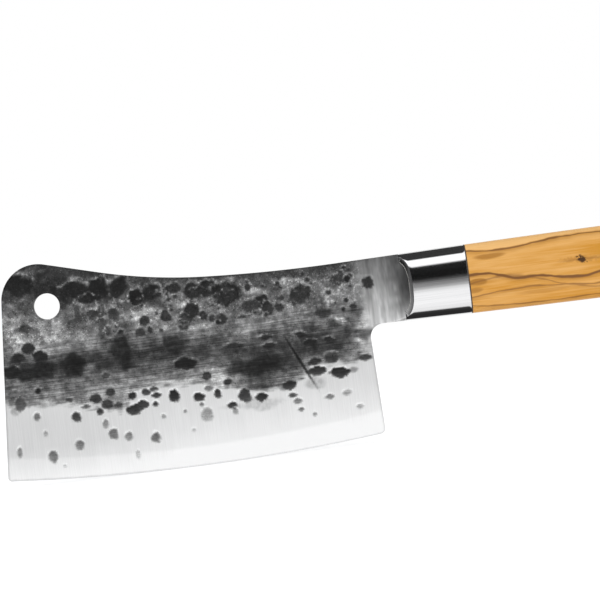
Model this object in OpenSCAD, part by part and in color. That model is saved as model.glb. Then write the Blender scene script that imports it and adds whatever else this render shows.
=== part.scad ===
// Meat cleaver: a forged blade with a hidden tang, a steel bolster sleeve and an olive wood grip.
// The origin is the middle of the hanging hole, halfway through the blade. +X runs along the grip
// towards its butt, +Y runs through the blade's thickness, and +Z points up from the edge to the spine.

/* [Blade] */
// Length of the blade from the front corner of the edge to the heel corner
blade_l = 176; // [147:1:211]
// Depth from the middle of the hanging hole down to the lowest point of the edge
edge_drop = 82; // [68:1:99]
// Thickness of the blade along the spine
spine_t = 3.4; // [2.8:0.1:4.2]
// Depth below the hanging hole at which the blade starts to taper
taper_start = 20; // [14:1:28]
// Thickness of the blade where the edge bevel begins
shoulder_t = 1.5; // [1.2:0.1:1.9]
// Width of the edge bevel
bevel_w = 9; // [5:0.5:12]
// Thickness left along the cutting edge
edge_t = 0.3; // [0.2:0.05:0.5]
// Radius of the belly curve of the cutting edge
belly_r = 920; // [600:10:1500]
// Distance from the front edge to the middle of the hanging hole
hole_back = 20.9; // [17:0.1:26]
// Diameter of the hanging hole
hole_d = 12; // [9:0.5:15]
// Forward lean of the front edge, in degrees
front_lean = 5.2; // [2:0.1:8]
// Backward lean of the heel, in degrees
heel_lean = 1.7; // [0:0.1:4]

/* [Spine] */
// Height of the spine above the middle of the hanging hole
spine_rise = 19.6; // [17:0.1:24]
// Slope of the straight front stretch of the spine, in degrees
spine_fall = 15.5; // [13:0.1:18]
// Slope of the spine halfway down its sweep, in degrees
sweep_fall = 4; // [3:0.1:5]
// Distance from the hanging hole to the lowest part of the sweep
dip_x = 105; // [100:1:112]
// Radius of the sweep where it runs into the neck
dip_r = 725; // [500:5:760]

/* [Corners] */
// Radius of the rounded nose at the top of the front edge
nose_r = 17; // [12:0.5:19]
// Radius of the front corner of the edge
front_corner_r = 1.5; // [0.5:0.1:4]
// Radius of the heel corner of the edge
heel_corner_r = 2.5; // [0.5:0.1:4]
// Radius of the fillet between the heel and the neck
neck_fillet_r = 6; // [3:0.5:9]

/* [Neck] */
// Depth of the grip's centre line below the middle of the hanging hole
grip_drop = 12.4; // [11:0.1:14]
// Length of the neck from the heel to the bolster
neck_l = 17.2; // [14:0.1:21]
// Height of the neck at the heel
neck_h = 30.3; // [28:0.1:33]
// Distance from the heel to where the hollow grind starts to flare the neck
flare_start = 1.9; // [0:0.1:3]
// Length of the hollow grind, measured at the widest part of the bolster
flare_l = 20; // [17:0.5:22]

/* [Bolster] */
// Length of the bolster sleeve
bolster_l = 30.4; // [25:0.1:37]
// Height of the bolster at its rear face
bolster_h = 31.8; // [30:0.1:34]
// Width of the bolster
bolster_w = 22; // [20:0.1:24]
// Wall of the bolster sleeve
sleeve_wall = 1.5; // [1.2:0.1:1.9]
// Solder gap between the blade's collar and the sleeve
solder_gap = 0.2; // [0.1:0.05:0.4]
// Length of the blade's collar inside the sleeve
collar_l = 8; // [6:0.5:12]
// Thickness of the spacer between the bolster and the grip
spacer_t = 0.5; // [0.4:0.1:1.5]

/* [Grip] */
// Length of the wooden grip
grip_l = 102; // [85:1:122]
// Height of the grip at its fullest
grip_h = 32.9; // [32:0.1:38]
// Width of the grip at its fullest
grip_w = 24.2; // [22:0.1:28]
// Distance from the front of the grip to where it is fullest
swell_x = 80; // [50:1:90]
// Radius of the rounding around the butt
butt_r = 8; // [5:0.5:8.5]
// Squareness of the oval section of the bolster and the grip, where 2 is an ellipse
squareness = 2.8; // [2.2:0.1:3.4]

/* [Tang] */
// Length of the flat tang behind the collar
tang_l = 68; // [58:1:80]
// Height of the tang where it leaves the collar
tang_h = 16; // [14:0.5:19]
// Height of the tang at its end
tang_end_h = 9; // [8:0.5:13]
// Room for epoxy around the tang
epoxy_gap = 1.2; // [0.8:0.1:1.6]
// Diameter of the threaded rod
rod_d = 6; // [5:0.5:7]
// Length of the weld bead around the butt joint of the tang and the rod
weld_l = 10; // [8:1:14]
// Diameter of the weld bead
weld_d = 9.4; // [9:0.1:10.5]
// Radial play between the rod and whatever it passes through
rod_play = 0.5; // [0.3:0.1:0.8]

/* [Butt fastening] */
// Depth of the counterbore in the butt
pocket_l = 19; // [17:0.5:24]
// Diameter of the counterbore in the butt
pocket_d = 14.4; // [13.8:0.1:16]
// Radial play of the washer and the plug in the counterbore
pocket_play = 0.1; // [0.05:0.05:0.3]
// Thickness of the washer
washer_t = 1.6; // [1:0.1:2]
// Height of the hexagonal nut
nut_h = 5; // [4:0.5:6]
// Width of the nut across its flats
nut_flats = 10; // [9.5:0.5:11]
// Radial play in the nut's thread
thread_play = 0.1; // [0.05:0.05:0.2]
// Length of rod that stands out of the nut
rod_end = 2; // [1:0.5:3]

/* [Hidden] */

// How far a rounded corner's short straight steps may stray from the true arc
arc_error = 0.008;
// Points around an oval section
oval_steps = 72;
// Sections along the swell of the grip, and the angle between those around its butt
swell_steps = 10;
butt_step = 15;
// Overshoot of a cutting tool past the face that it leaves through
over = 1;
// Length of plain tangent left at each end of the belly curve for its corners
belly_end = 4;
// Share of the room between two rounded corners that the front sweep may take
sweep_share = 0.99;
// Facets of the belly's large circle, of the hollow grind and of the small round parts
fine_steps = 1440;
grind_steps = 180;
round_steps = 64;

// Fixed lines of the outline
grip_z = -grip_drop;
front_corner_x = -hole_back - edge_drop * tan(front_lean);
heel_corner_x = front_corner_x + blade_l;
belly_x = (front_corner_x + heel_corner_x) / 2;
belly_turn = asin((blade_l / 2 - belly_end) / belly_r);
heel_x = heel_corner_x - (edge_drop - grip_drop - neck_h / 2) * tan(heel_lean);

// Stations along the grip's centre line
flare_x = heel_x + flare_start;
bolster_x = heel_x + neck_l;
collar_end_x = bolster_x + collar_l;
spacer_x = bolster_x + bolster_l;
grip_x = spacer_x + spacer_t;
butt_x = grip_x + grip_l;
tang_end_x = collar_end_x + tang_l;
pocket_x = butt_x - pocket_l;
nut_x = pocket_x + washer_t;
rod_end_x = nut_x + nut_h + rod_end;
slot_end_x = tang_end_x + epoxy_gap;
weld_x = tang_end_x - weld_l / 2;

// Height of the neck and the bolster at a station, as one straight line from the heel to the spacer
h_slope = (bolster_h - neck_h) / (spacer_x - heel_x);
function neck_height(x) = neck_h + (x - heel_x) * h_slope;
function neck_top(x) = grip_z + neck_height(x) / 2;
function neck_bottom(x) = grip_z - neck_height(x) / 2;

// Hollow grind: an upright cylinder on each side that is tangent to the blade and cuts the oval
// down to the blade's thickness over the length of the flare
grind_depth = (bolster_w - spine_t) / 2;
grind_r = (flare_l * flare_l + grind_depth * grind_depth) / (2 * grind_depth);

// Corners of the outline as [x, z], each the crossing of two straight lines. A line is [point, angle].
function heading(a) = [cos(a), sin(a)];
function crossing(p, q) =
    let (d = heading(p[1]), e = heading(q[1]), w = q[0] - p[0])
    p[0] + d * cross(w, e) / cross(d, e);

front_line = [[-hole_back, 0], 90 - front_lean];
spine_line = [[0, spine_rise], -spine_fall];
dip = [dip_x, neck_top(dip_x)];
sweep_line = [dip, -sweep_fall];
heel_line = [[heel_x, neck_bottom(heel_x)], heel_lean - 90];
belly_z = -edge_drop + belly_r - belly_r / cos(belly_turn);
belly_point = [belly_x, belly_z];
belly_front = [belly_point, 180 - belly_turn];
belly_heel = [belly_point, belly_turn];

nose = crossing(front_line, spine_line);
sweep = crossing(spine_line, sweep_line);
heel_neck = [heel_x, neck_bottom(heel_x)];
heel_corner = crossing(heel_line, belly_heel);
front_corner = crossing(front_line, belly_front);

// The front sweep takes the largest radius that still meets the dip's and the nose's own curves
neck_rise = atan(h_slope / 2);
dip_reach = dip_r * tan((sweep_fall + neck_rise) / 2);
nose_reach = nose_r * tan((90 - front_lean + spine_fall) / 2);
sweep_room = min(norm(dip - sweep) - dip_reach, norm(sweep - nose) - nose_reach);
sweep_r = sweep_share * sweep_room / tan((spine_fall - sweep_fall) / 2);

// Arc that rounds the corner q between p and s with radius r, as points. A radius of 0 leaves it sharp.
function turned(v, a) = [v.x * cos(a) - v.y * sin(a), v.x * sin(a) + v.y * cos(a)];
function corner_arc(p, q, s, r) =
    r == 0 ? [q] :
    let (
        u = (p - q) / norm(p - q),
        v = (s - q) / norm(s - q),
        half = acos(u * v) / 2,
        centre = q + (u + v) / norm(u + v) * r / sin(half),
        start = q + u * r / tan(half) - centre,
        turn = (180 - 2 * half) * sign(cross(q - p, s - q)),
        steps = ceil(abs(turn) / (2 * acos(1 - arc_error / r)))
    )
    [for (i = [0:steps]) centre + turned(start, turn * i / steps)];

// Corners of the outline in order, each as [corner, radius]. The neck ends at the bolster.
outline_corners = [
    [front_corner, front_corner_r],
    [belly_point, belly_r],
    [heel_corner, heel_corner_r],
    [heel_neck, neck_fillet_r],
    [[bolster_x, neck_bottom(bolster_x)], 0],
    [[bolster_x, neck_top(bolster_x)], 0],
    [dip, dip_r],
    [sweep, sweep_r],
    [nose, nose_r]
];

// Oval section with flattened sides: a superellipse w wide and h high
function power(v, e) = sign(v) * pow(abs(v), e);
function oval(w, h) = [
    for (i = [0:oval_steps - 1])
        let (a = 360 * (i + 0.5) / oval_steps)
        [w / 2 * power(cos(a), 2 / squareness), h / 2 * power(sin(a), 2 / squareness)]
];

// Closed skin through oval sections along the grip's centre line, each as [x, width, height]
module loft(sections) {
    n = oval_steps;
    last = (len(sections) - 1) * n;
    polyhedron(
        points = [for (s = sections) each [for (p = oval(s[1], s[2])) [s[0], p.x, grip_z + p.y]]],
        faces = [
            [for (i = [0:n - 1]) i],
            [for (i = [n - 1:-1:0]) last + i],
            each [
                for (ring = [0:n:last - 1], i = [0:n - 1])
                    let (a = ring + i, b = ring + (i + 1) % n)
                    each [[a, a + n, b], [b, a + n, b + n]]
            ]
        ]);
}

// Straight run of the neck and bolster oval from x0 to x1, inset by a wall on every side
module bolster_run(x0, x1, inset) {
    loft([for (x = [x0, x1]) [x, bolster_w - 2 * inset, neck_height(x) - 2 * inset]]);
}

// Round bar of diameter d along the grip's centre line
module bar(x0, x1, d, steps = round_steps) {
    translate([x0, 0, grip_z]) rotate([0, 90, 0]) cylinder(h = x1 - x0, d = d, $fn = steps);
}

// Upright cylinders that hollow both sides of the neck
module hollow_grind() {
    for (side = [-1, 1])
        translate([flare_x, side * (grind_r + spine_t / 2), grip_z - bolster_h])
            cylinder(h = 2 * bolster_h, r = grind_r, $fn = grind_steps);
}

// Flat tang seen from the side, tapering to its end
module tang_outline(grow) {
    polygon([
        [collar_end_x - over, grip_z - tang_h / 2 - grow],
        [tang_end_x + grow, grip_z - tang_end_h / 2 - grow],
        [tang_end_x + grow, grip_z + tang_end_h / 2 + grow],
        [collar_end_x - over, grip_z + tang_h / 2 + grow]
    ]);
}

module upright_plate(t) {
    translate([0, t / 2, 0]) rotate([90, 0, 0]) linear_extrude(t) children();
}

// The blade's flat outline in the X-Z plane
module blade_outline() {
    n = len(outline_corners);
    polygon([
        for (i = [0:n - 1])
            each corner_arc(
                outline_corners[(i + n - 1) % n][0],
                outline_corners[i][0],
                outline_corners[(i + 1) % n][0],
                outline_corners[i][1])
    ]);
}

// Wedge that thins the blade from the taper's start down to the bevel's shoulder
module taper_wedge() {
    half = spine_t / 2;
    shoulder_z = -edge_drop + bevel_w;
    taper = (half - shoulder_t / 2) / (-taper_start - shoulder_z);
    foot_z = -edge_drop - over;
    foot = shoulder_t / 2 - taper * (shoulder_z - foot_z);
    length = blade_l + 2 * neck_l;
    translate([front_corner_x - neck_l, 0, 0]) rotate([90, 0, 90]) linear_extrude(length) polygon([
        [-half, spine_rise + nose_r],
        [-half, -taper_start],
        [-foot, foot_z],
        [foot, foot_z],
        [half, -taper_start],
        [half, spine_rise + nose_r]
    ]);
}

// Shallow double cone about the belly's centre, which grinds the bevel along the curved edge
module bevel_cone() {
    rise = (shoulder_t - edge_t) / 2 / bevel_w;
    half = spine_t;
    inner_r = belly_r - (half - edge_t / 2) / rise;
    translate([belly_x, 0, belly_r - edge_drop]) rotate([90, 0, 0]) rotate_extrude($fn = fine_steps)
        polygon([
            [0, -half], [inner_r, -half], [belly_r, -edge_t / 2], [belly_r + over, -edge_t / 2],
            [belly_r + over, edge_t / 2], [belly_r, edge_t / 2], [inner_r, half], [0, half]
        ]);
}

// One forging: blade, flared neck, collar and tang
module blade() {
    color("dimgray") {
        difference() {
            intersection() {
                upright_plate(spine_t + over) blade_outline();
                taper_wedge();
                bevel_cone();
            }
            rotate([90, 0, 0]) cylinder(h = spine_t + 2 * over, d = hole_d, center = true, $fn = round_steps);
        }
        difference() {
            union() {
                bolster_run(flare_x, bolster_x, 0);
                bolster_run(bolster_x - over, collar_end_x, sleeve_wall + solder_gap);
            }
            hollow_grind();
        }
        upright_plate(spine_t) tang_outline(0);
    }
}

// Ring of solder between the collar and the sleeve
module seam_solder() {
    color("lightgray") difference() {
        bolster_run(bolster_x, collar_end_x, sleeve_wall);
        bolster_run(bolster_x - over, collar_end_x + over, sleeve_wall + solder_gap);
        hollow_grind();
    }
}

module bolster_sleeve() {
    color("silver") difference() {
        bolster_run(bolster_x, spacer_x, 0);
        bolster_run(bolster_x - over, spacer_x + over, sleeve_wall);
        hollow_grind();
    }
}

// Cast epoxy that fills the sleeve around the tang
module bolster_filler() {
    color("darkslategray") difference() {
        bolster_run(collar_end_x, spacer_x, sleeve_wall);
        upright_plate(spine_t) tang_outline(0);
    }
}

// Slot for the tang, from the spacer to past the tang's end
module tang_slot() {
    intersection() {
        upright_plate(spine_t + 2 * epoxy_gap) tang_outline(epoxy_gap);
        translate([spacer_x, -bolster_w / 2, grip_z - bolster_h / 2])
            cube([slot_end_x - spacer_x, bolster_w, bolster_h]);
    }
}

// Thin dark fibre spacer between the bolster and the wood
module joint_spacer() {
    color("black") difference() {
        translate([spacer_x, 0, grip_z]) rotate([90, 0, 90])
            linear_extrude(spacer_t) polygon(oval(bolster_w, bolster_h));
        tang_slot();
    }
}

// Outer shape of the grip: it swells towards the butt along a quarter of a sine wave, and the butt
// is rounded over with a quarter circle
function swell(x) = sin(90 * min(1, x / swell_x));
function grip_section(x, inset) = [
    grip_x + x,
    bolster_w + (grip_w - bolster_w) * swell(x) - inset,
    bolster_h + (grip_h - bolster_h) * swell(x) - inset
];
module grip_shape() {
    straight = grip_l - butt_r;
    loft(concat(
        [for (i = [0:swell_steps]) grip_section(straight * i / swell_steps, 0)],
        [for (a = [butt_step:butt_step:90]) grip_section(straight + butt_r * sin(a), 2 * butt_r * (1 - cos(a)))]
    ));
}

module handle_grip() {
    color("burlywood") difference() {
        grip_shape();
        tang_slot();
        bar(grip_x + over, butt_x + over, rod_d + 2 * rod_play);
        bar(pocket_x, butt_x + over, pocket_d);
        weld_pocket();
    }
}

// Room around the weld at the end of the slot
module weld_pocket() {
    bar(weld_x, weld_x + weld_l + epoxy_gap, weld_d + 2 * rod_play);
}

// Cast epoxy around the tang and its weld
module tang_epoxy() {
    color("dimgray") difference() {
        union() {
            tang_slot();
            weld_pocket();
        }
        upright_plate(spine_t) tang_outline(0);
        bar(weld_x, weld_x + weld_l, weld_d);
        bar(tang_end_x, weld_x + weld_l + epoxy_gap + over, rod_d);
    }
}

module tang_rod() {
    color("gray") bar(tang_end_x, rod_end_x, rod_d);
}

// Weld bead around the butt joint of the tang and the rod
module rod_weld() {
    color("slategray") difference() {
        bar(weld_x, weld_x + weld_l, weld_d);
        upright_plate(spine_t) tang_outline(0);
        bar(tang_end_x, weld_x + weld_l + over, rod_d);
    }
}

module butt_washer() {
    color("silver") difference() {
        bar(pocket_x, nut_x, pocket_d - 2 * pocket_play);
        bar(pocket_x - over, nut_x + over, rod_d + 2 * rod_play);
    }
}

module butt_nut() {
    color("gray") difference() {
        bar(nut_x, nut_x + nut_h, nut_flats / cos(30), 6);
        bar(nut_x - over, nut_x + nut_h + over, rod_d + 2 * thread_play);
    }
}

// Wooden plug that closes the counterbore, dressed flush with the butt
module butt_plug() {
    color("peru") intersection() {
        bar(rod_end_x + rod_play, butt_x + over, pocket_d - 2 * pocket_play);
        grip_shape();
    }
}

blade();
seam_solder();
bolster_sleeve();
bolster_filler();
joint_spacer();
handle_grip();
tang_epoxy();
tang_rod();
rod_weld();
butt_washer();
butt_nut();
butt_plug();
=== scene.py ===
"""Visible surfaces, finishes and stage of a forged meat cleaver, laid out as a Blender add-on.

The frame is the CAD part: +X runs along the grip to its butt, +Y through the blade's thickness, +Z up
from the cutting edge to the spine, and the origin is the middle of the hanging hole. The shape functions
work in millimetres and write_piece turns them into metres.
"""

import math
from types import SimpleNamespace

import bpy
import numpy as np
from bpy.props import FloatProperty, FloatVectorProperty, PointerProperty
from bpy.types import Operator, Panel, PropertyGroup
from mathutils import Matrix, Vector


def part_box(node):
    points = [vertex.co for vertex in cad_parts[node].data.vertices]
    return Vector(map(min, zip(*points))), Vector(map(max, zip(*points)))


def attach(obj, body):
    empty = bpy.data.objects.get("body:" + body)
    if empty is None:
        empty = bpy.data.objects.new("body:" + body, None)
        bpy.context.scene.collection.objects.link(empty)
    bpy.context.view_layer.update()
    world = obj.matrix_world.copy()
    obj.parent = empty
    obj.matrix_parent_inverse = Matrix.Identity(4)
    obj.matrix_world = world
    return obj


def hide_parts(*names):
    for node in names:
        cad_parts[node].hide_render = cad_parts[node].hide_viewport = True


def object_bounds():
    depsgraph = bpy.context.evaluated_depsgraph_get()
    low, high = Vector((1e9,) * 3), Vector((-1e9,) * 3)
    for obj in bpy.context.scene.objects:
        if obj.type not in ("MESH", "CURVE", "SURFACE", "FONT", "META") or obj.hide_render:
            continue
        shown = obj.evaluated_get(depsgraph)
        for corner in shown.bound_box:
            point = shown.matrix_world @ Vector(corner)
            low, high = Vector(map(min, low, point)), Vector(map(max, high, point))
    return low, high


bl_info = {
    "name": "Meat cleaver",
    "version": (1, 0, 0),
    "blender": (4, 5, 0),
    "location": "3D View > Sidebar > Cleaver",
    "description": "Builds the blade, bolster, grip, finishes and stage of a forged meat cleaver",
    "category": "Object",
}

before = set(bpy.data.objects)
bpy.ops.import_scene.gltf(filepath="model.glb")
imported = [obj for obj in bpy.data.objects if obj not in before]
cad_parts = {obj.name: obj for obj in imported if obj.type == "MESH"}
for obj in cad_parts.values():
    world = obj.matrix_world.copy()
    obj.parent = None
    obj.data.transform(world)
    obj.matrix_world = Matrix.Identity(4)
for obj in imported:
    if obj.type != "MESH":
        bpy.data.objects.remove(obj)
CAD_BOX = [list(corner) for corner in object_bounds()]
SLEEVE_LOW, SLEEVE_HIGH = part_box("bolster_sleeve")
GRIP_LOW, GRIP_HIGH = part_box("handle_grip")


# Sizes and colours -----------------------------------------------------------------------------------


def metres(name, description, default):
    """A size."""
    return FloatProperty(name=name, description=description, default=default, unit="LENGTH")


def degrees(name, description, default):
    """An angle, with its default in degrees."""
    return FloatProperty(name=name, description=description, default=math.radians(default), subtype="ANGLE")


def tint(name, description, default):
    """A colour."""
    return FloatVectorProperty(name=name, description=description, default=default, subtype="COLOR")


class BladeSizes(PropertyGroup):
    """Sizes of the blade and its neck."""

    length: metres("Blade length", "From the front corner of the edge to the heel corner", 0.176)
    drop: metres(
        "Edge drop", "From the middle of the hanging hole down to the lowest point of the edge", 0.082
    )
    spine: metres("Spine thickness", "Thickness of the plate along the spine", 0.0034)
    taper_start: metres(
        "Taper start", "Depth below the hanging hole where the plate starts to taper", 0.02
    )
    shoulder: metres("Shoulder thickness", "Thickness of the plate where the edge bevel begins", 0.0015)
    bevel: metres("Bevel width", "Width of the bevel along the cutting edge", 0.009)
    edge: metres("Edge thickness", "Thickness left along the cutting edge", 0.0003)
    belly: metres("Belly radius", "Radius of the cutting edge's curve", 0.92)
    hole_back: metres("Hole setback", "From the front edge to the middle of the hanging hole", 0.0209)
    hole: metres("Hole diameter", "Diameter of the hanging hole", 0.012)
    nose: metres("Nose radius", "Rounding of the nose above the hanging hole", 0.017)
    front_lean: degrees("Front lean", "Forward lean of the front edge", 5.2)
    heel_lean: degrees("Heel lean", "Backward lean of the heel", 1.7)
    spine_rise: metres("Spine rise", "Height of the spine above the hole", 0.0196)
    spine_fall: degrees("Spine fall", "Slope of the spine's straight front stretch", 15.5)
    sweep_fall: degrees("Sweep fall", "Slope of the spine halfway down its sweep", 4.0)
    dip: metres(
        "Sweep low point", "From the hanging hole to the lowest part of the spine's sweep", 0.105
    )
    dip_radius: metres("Sweep radius", "Radius of the sweep where it runs into the neck", 0.725)
    neck_fillet: metres("Neck fillet", "Rounding between the heel and the neck", 0.006)
    rim: metres("Rim rounding", "Width of the rounding around the plate's rim", 0.00035)
    pitch: metres("Surface pitch", "Spacing of the plate's surface points", 0.00064)


class HandleSizes(PropertyGroup):
    """Sizes of the neck, the bolster sleeve and the grip."""

    drop: metres("Grip drop", "Depth of the grip's centre line below the hanging hole", 0.0124)
    neck_length: metres("Neck length", "From the heel to the bolster", 0.0172)
    neck_height: metres("Neck height", "Height of the neck at the heel", 0.0303)
    flare_start: metres("Flare start", "From the heel to the start of the flare", 0.0019)
    flare_length: metres(
        "Flare length", "Length of the hollow-ground flare at the bolster's widest part", 0.02
    )
    bolster_length: metres("Bolster length", "Length of the bolster sleeve", 0.0304)
    bolster_width: metres("Bolster width", "Width of the bolster sleeve", SLEEVE_HIGH.y - SLEEVE_LOW.y)
    bolster_height: metres("Bolster height", "Height of the bolster sleeve at its rear face", 0.0318)
    wall: metres("Sleeve wall", "Wall of the bolster sleeve", 0.0015)
    collar: metres("Collar length", "Length of the blade's collar in the sleeve", 0.008)
    tang: metres("Tang length", "Length of the flat tang behind the collar", 0.068)
    grip_front: metres("Grip front", "Station of the grip's front face", GRIP_LOW.x)
    grip_butt: metres("Grip butt", "Station of the grip's butt", GRIP_HIGH.x)
    grip_height: metres("Grip height", "Height of the grip at its fullest", GRIP_HIGH.z - GRIP_LOW.z)
    grip_width: metres("Grip width", "Width of the grip at its fullest", GRIP_HIGH.y - GRIP_LOW.y)
    swell: metres("Swell", "From the grip's front to where it is fullest", 0.08)
    butt_radius: metres("Butt rounding", "Rounding around the butt", 0.008)
    pocket: metres("Pocket diameter", "Diameter of the counterbore in the butt", 0.0144)
    squareness: FloatProperty(
        name="Squareness",
        description="Exponent of the oval section, where 2 is an ellipse",
        default=2.8,
    )


class FinishColours(PropertyGroup):
    """Colours and depths of the finishes."""

    steel: tint("Steel", "Tint of bare forged steel", (1.0, 1.0, 1.0))
    dent_depth: metres("Hammer mark depth", "Depth of the deepest hammer marks", 0.0003)
    sleeve: tint("Sleeve", "Colour of the bolster sleeve", (0.93, 0.93, 0.94))
    pale_wood: tint("Pale wood", "Palest olive wood", (0.92, 0.56, 0.225))
    gold_wood: tint("Golden wood", "Golden olive wood", (0.605, 0.268, 0.026))
    vein_wood: tint("Vein", "Dark veins of the olive wood", (0.2, 0.08, 0.018))
    fibre: tint("Fibre", "Vulcanised fibre spacer", (0.07, 0.05, 0.036))
    epoxy: tint("Epoxy", "Cast epoxy around the tang", (0.16, 0.14, 0.12))


class StageSettings(PropertyGroup):
    """Floor, light and camera."""

    floor: tint("Floor", "Colour of the floor", (0.86, 0.86, 0.86))
    roll: degrees("Roll", "How far the grip rises in the view", 7.4)
    distance: metres("Camera distance", "From the camera to the blade", 1.3)
    view_width: metres("View width", "Width that the view takes in at the blade", 0.27646)
    aim: FloatVectorProperty(
        name="Aim",
        description="Point that the camera looks at",
        default=(0.116, 0.0, -0.0121),
        subtype="XYZ",
    )
    key: FloatProperty(
        name="Key light", description="Power of the large soft light", default=3.5, unit="POWER"
    )


def in_millimetres(group):
    """A group's values, with its lengths in millimetres."""
    values = {key: getattr(group, key) for key in group.__annotations__}
    for key in values:
        if group.bl_rna.properties[key].unit == "LENGTH":
            values[key] *= 1000.0
    return SimpleNamespace(**values)


# Mesh writing ----------------------------------------------------------------------------------------


def write_piece(name, points, faces, finish, creases=None, **attributes):
    """Makes a mesh object from points in millimetres and a list of faces, smooth apart from its creases."""
    mesh = bpy.data.meshes.new(name)
    mesh.from_pydata((points / 1000.0).tolist(), [], faces)
    if mesh.validate():
        raise RuntimeError(f"{name} has broken faces")
    for key, values in attributes.items():
        mesh.attributes.new(key, "FLOAT", "POINT").data.foreach_set("value", values.astype(np.float32))
    mesh.polygons.foreach_set("use_smooth", np.ones(len(mesh.polygons), bool))
    if creases:
        mesh.set_sharp_from_angle(angle=math.radians(creases))
    mesh.materials.append(finish)
    piece = bpy.data.objects.new(name, mesh)
    bpy.context.scene.collection.objects.link(piece)
    return piece


def tube_faces(rings, around, start_pole=None, end_pole=None):
    """Quads between neighbouring rings of points, with fans of triangles to the poles that are given. They
    face outwards where the rings go round from +Y to +Z and follow each other along +X."""
    i, j = np.meshgrid(np.arange(rings - 1), np.arange(around), indexing="ij")
    k = (j + 1) % around
    quads = np.stack([i * around + j, i * around + k, (i + 1) * around + k, (i + 1) * around + j], -1)
    faces = quads.reshape(-1, 4).tolist()
    here = np.arange(around)
    turn = (here + 1) % around
    if start_pole is not None:
        faces += np.stack([np.full(around, start_pole), turn, here], -1).tolist()
    if end_pole is not None:
        last = (rings - 1) * around
        faces += np.stack([last + here, last + turn, np.full(around, end_pole)], -1).tolist()
    return faces


def closed_rings(rings):
    """Points and faces of rings of points whose last ring is the first one again."""
    points = rings[:-1].reshape(-1, 3)
    faces = np.array(tube_faces(*rings.shape[:2])) % len(points)
    return points, faces.tolist()


def power(value, exponent):
    """A power that keeps the sign: the sign of the value times its size to the exponent."""
    return np.sign(value) * np.abs(value) ** exponent


def smooth_step(low, high, value):
    """0 below low, 1 above high, and 3t^2 - 2t^3 between them."""
    t = np.clip((value - low) / (high - low), 0.0, 1.0)
    return t * t * (3.0 - 2.0 * t)


def drift(x, z, size, seed):
    """Smooth random drift from -1 to 1: random heights on a square lattice of that size, joined by
    smooth steps."""
    u, v = x / size + 64.0, z / size + 64.0
    i, j = np.floor(u).astype(int), np.floor(v).astype(int)
    f, g = smooth_step(0, 1, u - i), smooth_step(0, 1, v - j)
    heights = np.random.default_rng(seed).uniform(-1, 1, (512, 512))
    low = heights[i % 512, j % 512] * (1 - f) + heights[(i + 1) % 512, j % 512] * f
    high = heights[i % 512, (j + 1) % 512] * (1 - f) + heights[(i + 1) % 512, (j + 1) % 512] * f
    return low * (1 - g) + high * g


# Blade outline and thickness -------------------------------------------------------------------------


def heading(angle):
    """Unit vector at an angle in radians."""
    return np.array([math.cos(angle), math.sin(angle)])


def crossing(line, other):
    """Point where two lines cross. A line is a point and an angle."""
    (p, a), (q, b) = line, other
    d, e, w = heading(a), heading(b), np.array(q) - np.array(p)
    return np.array(p) + d * (w[0] * e[1] - w[1] * e[0]) / (d[0] * e[1] - d[1] * e[0])


def rounded_corner(before, corner, after, radius):
    """Points along the arc of that radius that touches both sides of a corner."""
    if radius == 0:
        return [corner]
    u = (before - corner) / np.linalg.norm(before - corner)
    v = (after - corner) / np.linalg.norm(after - corner)
    half = math.acos(np.clip(u @ v, -1, 1)) / 2
    centre = corner + (u + v) / np.linalg.norm(u + v) * radius / math.sin(half)
    arm = corner + u * radius / math.tan(half) - centre
    side = (corner - before)[0] * (after - corner)[1] - (corner - before)[1] * (after - corner)[0]
    turn = (math.pi - 2 * half) * np.sign(side)
    t = np.linspace(0, turn, max(2, math.ceil(abs(turn) * max(radius, 8) / 0.7) + 1))
    arc = np.stack([arm[0] * np.cos(t) - arm[1] * np.sin(t), arm[0] * np.sin(t) + arm[1] * np.cos(t)], -1)
    return list(centre + arc)


class Stations:
    """Places along the knife, worked out from the sizes in the same way as the CAD part's own."""

    def __init__(self, blade, handle):
        self.edge_drop = blade.drop
        self.grip_z = -handle.drop
        self.front_corner_x = -blade.hole_back - self.edge_drop * math.tan(blade.front_lean)
        self.heel_corner_x = self.front_corner_x + blade.length
        self.belly_x = (self.front_corner_x + self.heel_corner_x) / 2
        self.belly_r = blade.belly
        self.belly_turn = math.asin((blade.length / 2 - 4.0) / self.belly_r)
        neck_h = handle.neck_height
        neck_floor = self.edge_drop + self.grip_z - neck_h / 2
        self.heel_x = self.heel_corner_x - neck_floor * math.tan(blade.heel_lean)
        self.flare_x = self.heel_x + handle.flare_start
        self.bolster_x = self.heel_x + handle.neck_length
        self.spacer_x = self.bolster_x + handle.bolster_length
        self.slope = (handle.bolster_height - neck_h) / (self.spacer_x - self.heel_x)
        self.neck_h = neck_h
        depth = (handle.bolster_width - blade.spine) / 2
        self.grind_r = (handle.flare_length**2 + depth**2) / (2 * depth)
        self.half_spine = blade.spine / 2

    def neck_height(self, x):
        """Height of the neck and the bolster: one straight line from the heel to the spacer."""
        return self.neck_h + (x - self.heel_x) * self.slope

    def grind(self, x):
        """Half width that the hollow grind leaves: the spine's half, then the upright cylinder's face."""
        reach = np.clip(x - self.flare_x, 0.0, self.grind_r * 0.999)
        return self.half_spine + self.grind_r - np.sqrt(self.grind_r**2 - reach**2)

    def grind_station(self, y):
        """Where the hollow grind reaches a half width: the same cylinder's face, read the other way."""
        rise = np.clip(self.grind_r + self.half_spine - np.abs(y), 0.0, self.grind_r)
        return self.flare_x + np.sqrt(self.grind_r**2 - rise**2)


def neck_cover(blade, at):
    """Station behind the heel's fillet, from which the flared neck covers the plate."""
    return at.heel_x + 1.05 * blade.neck_fillet


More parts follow.
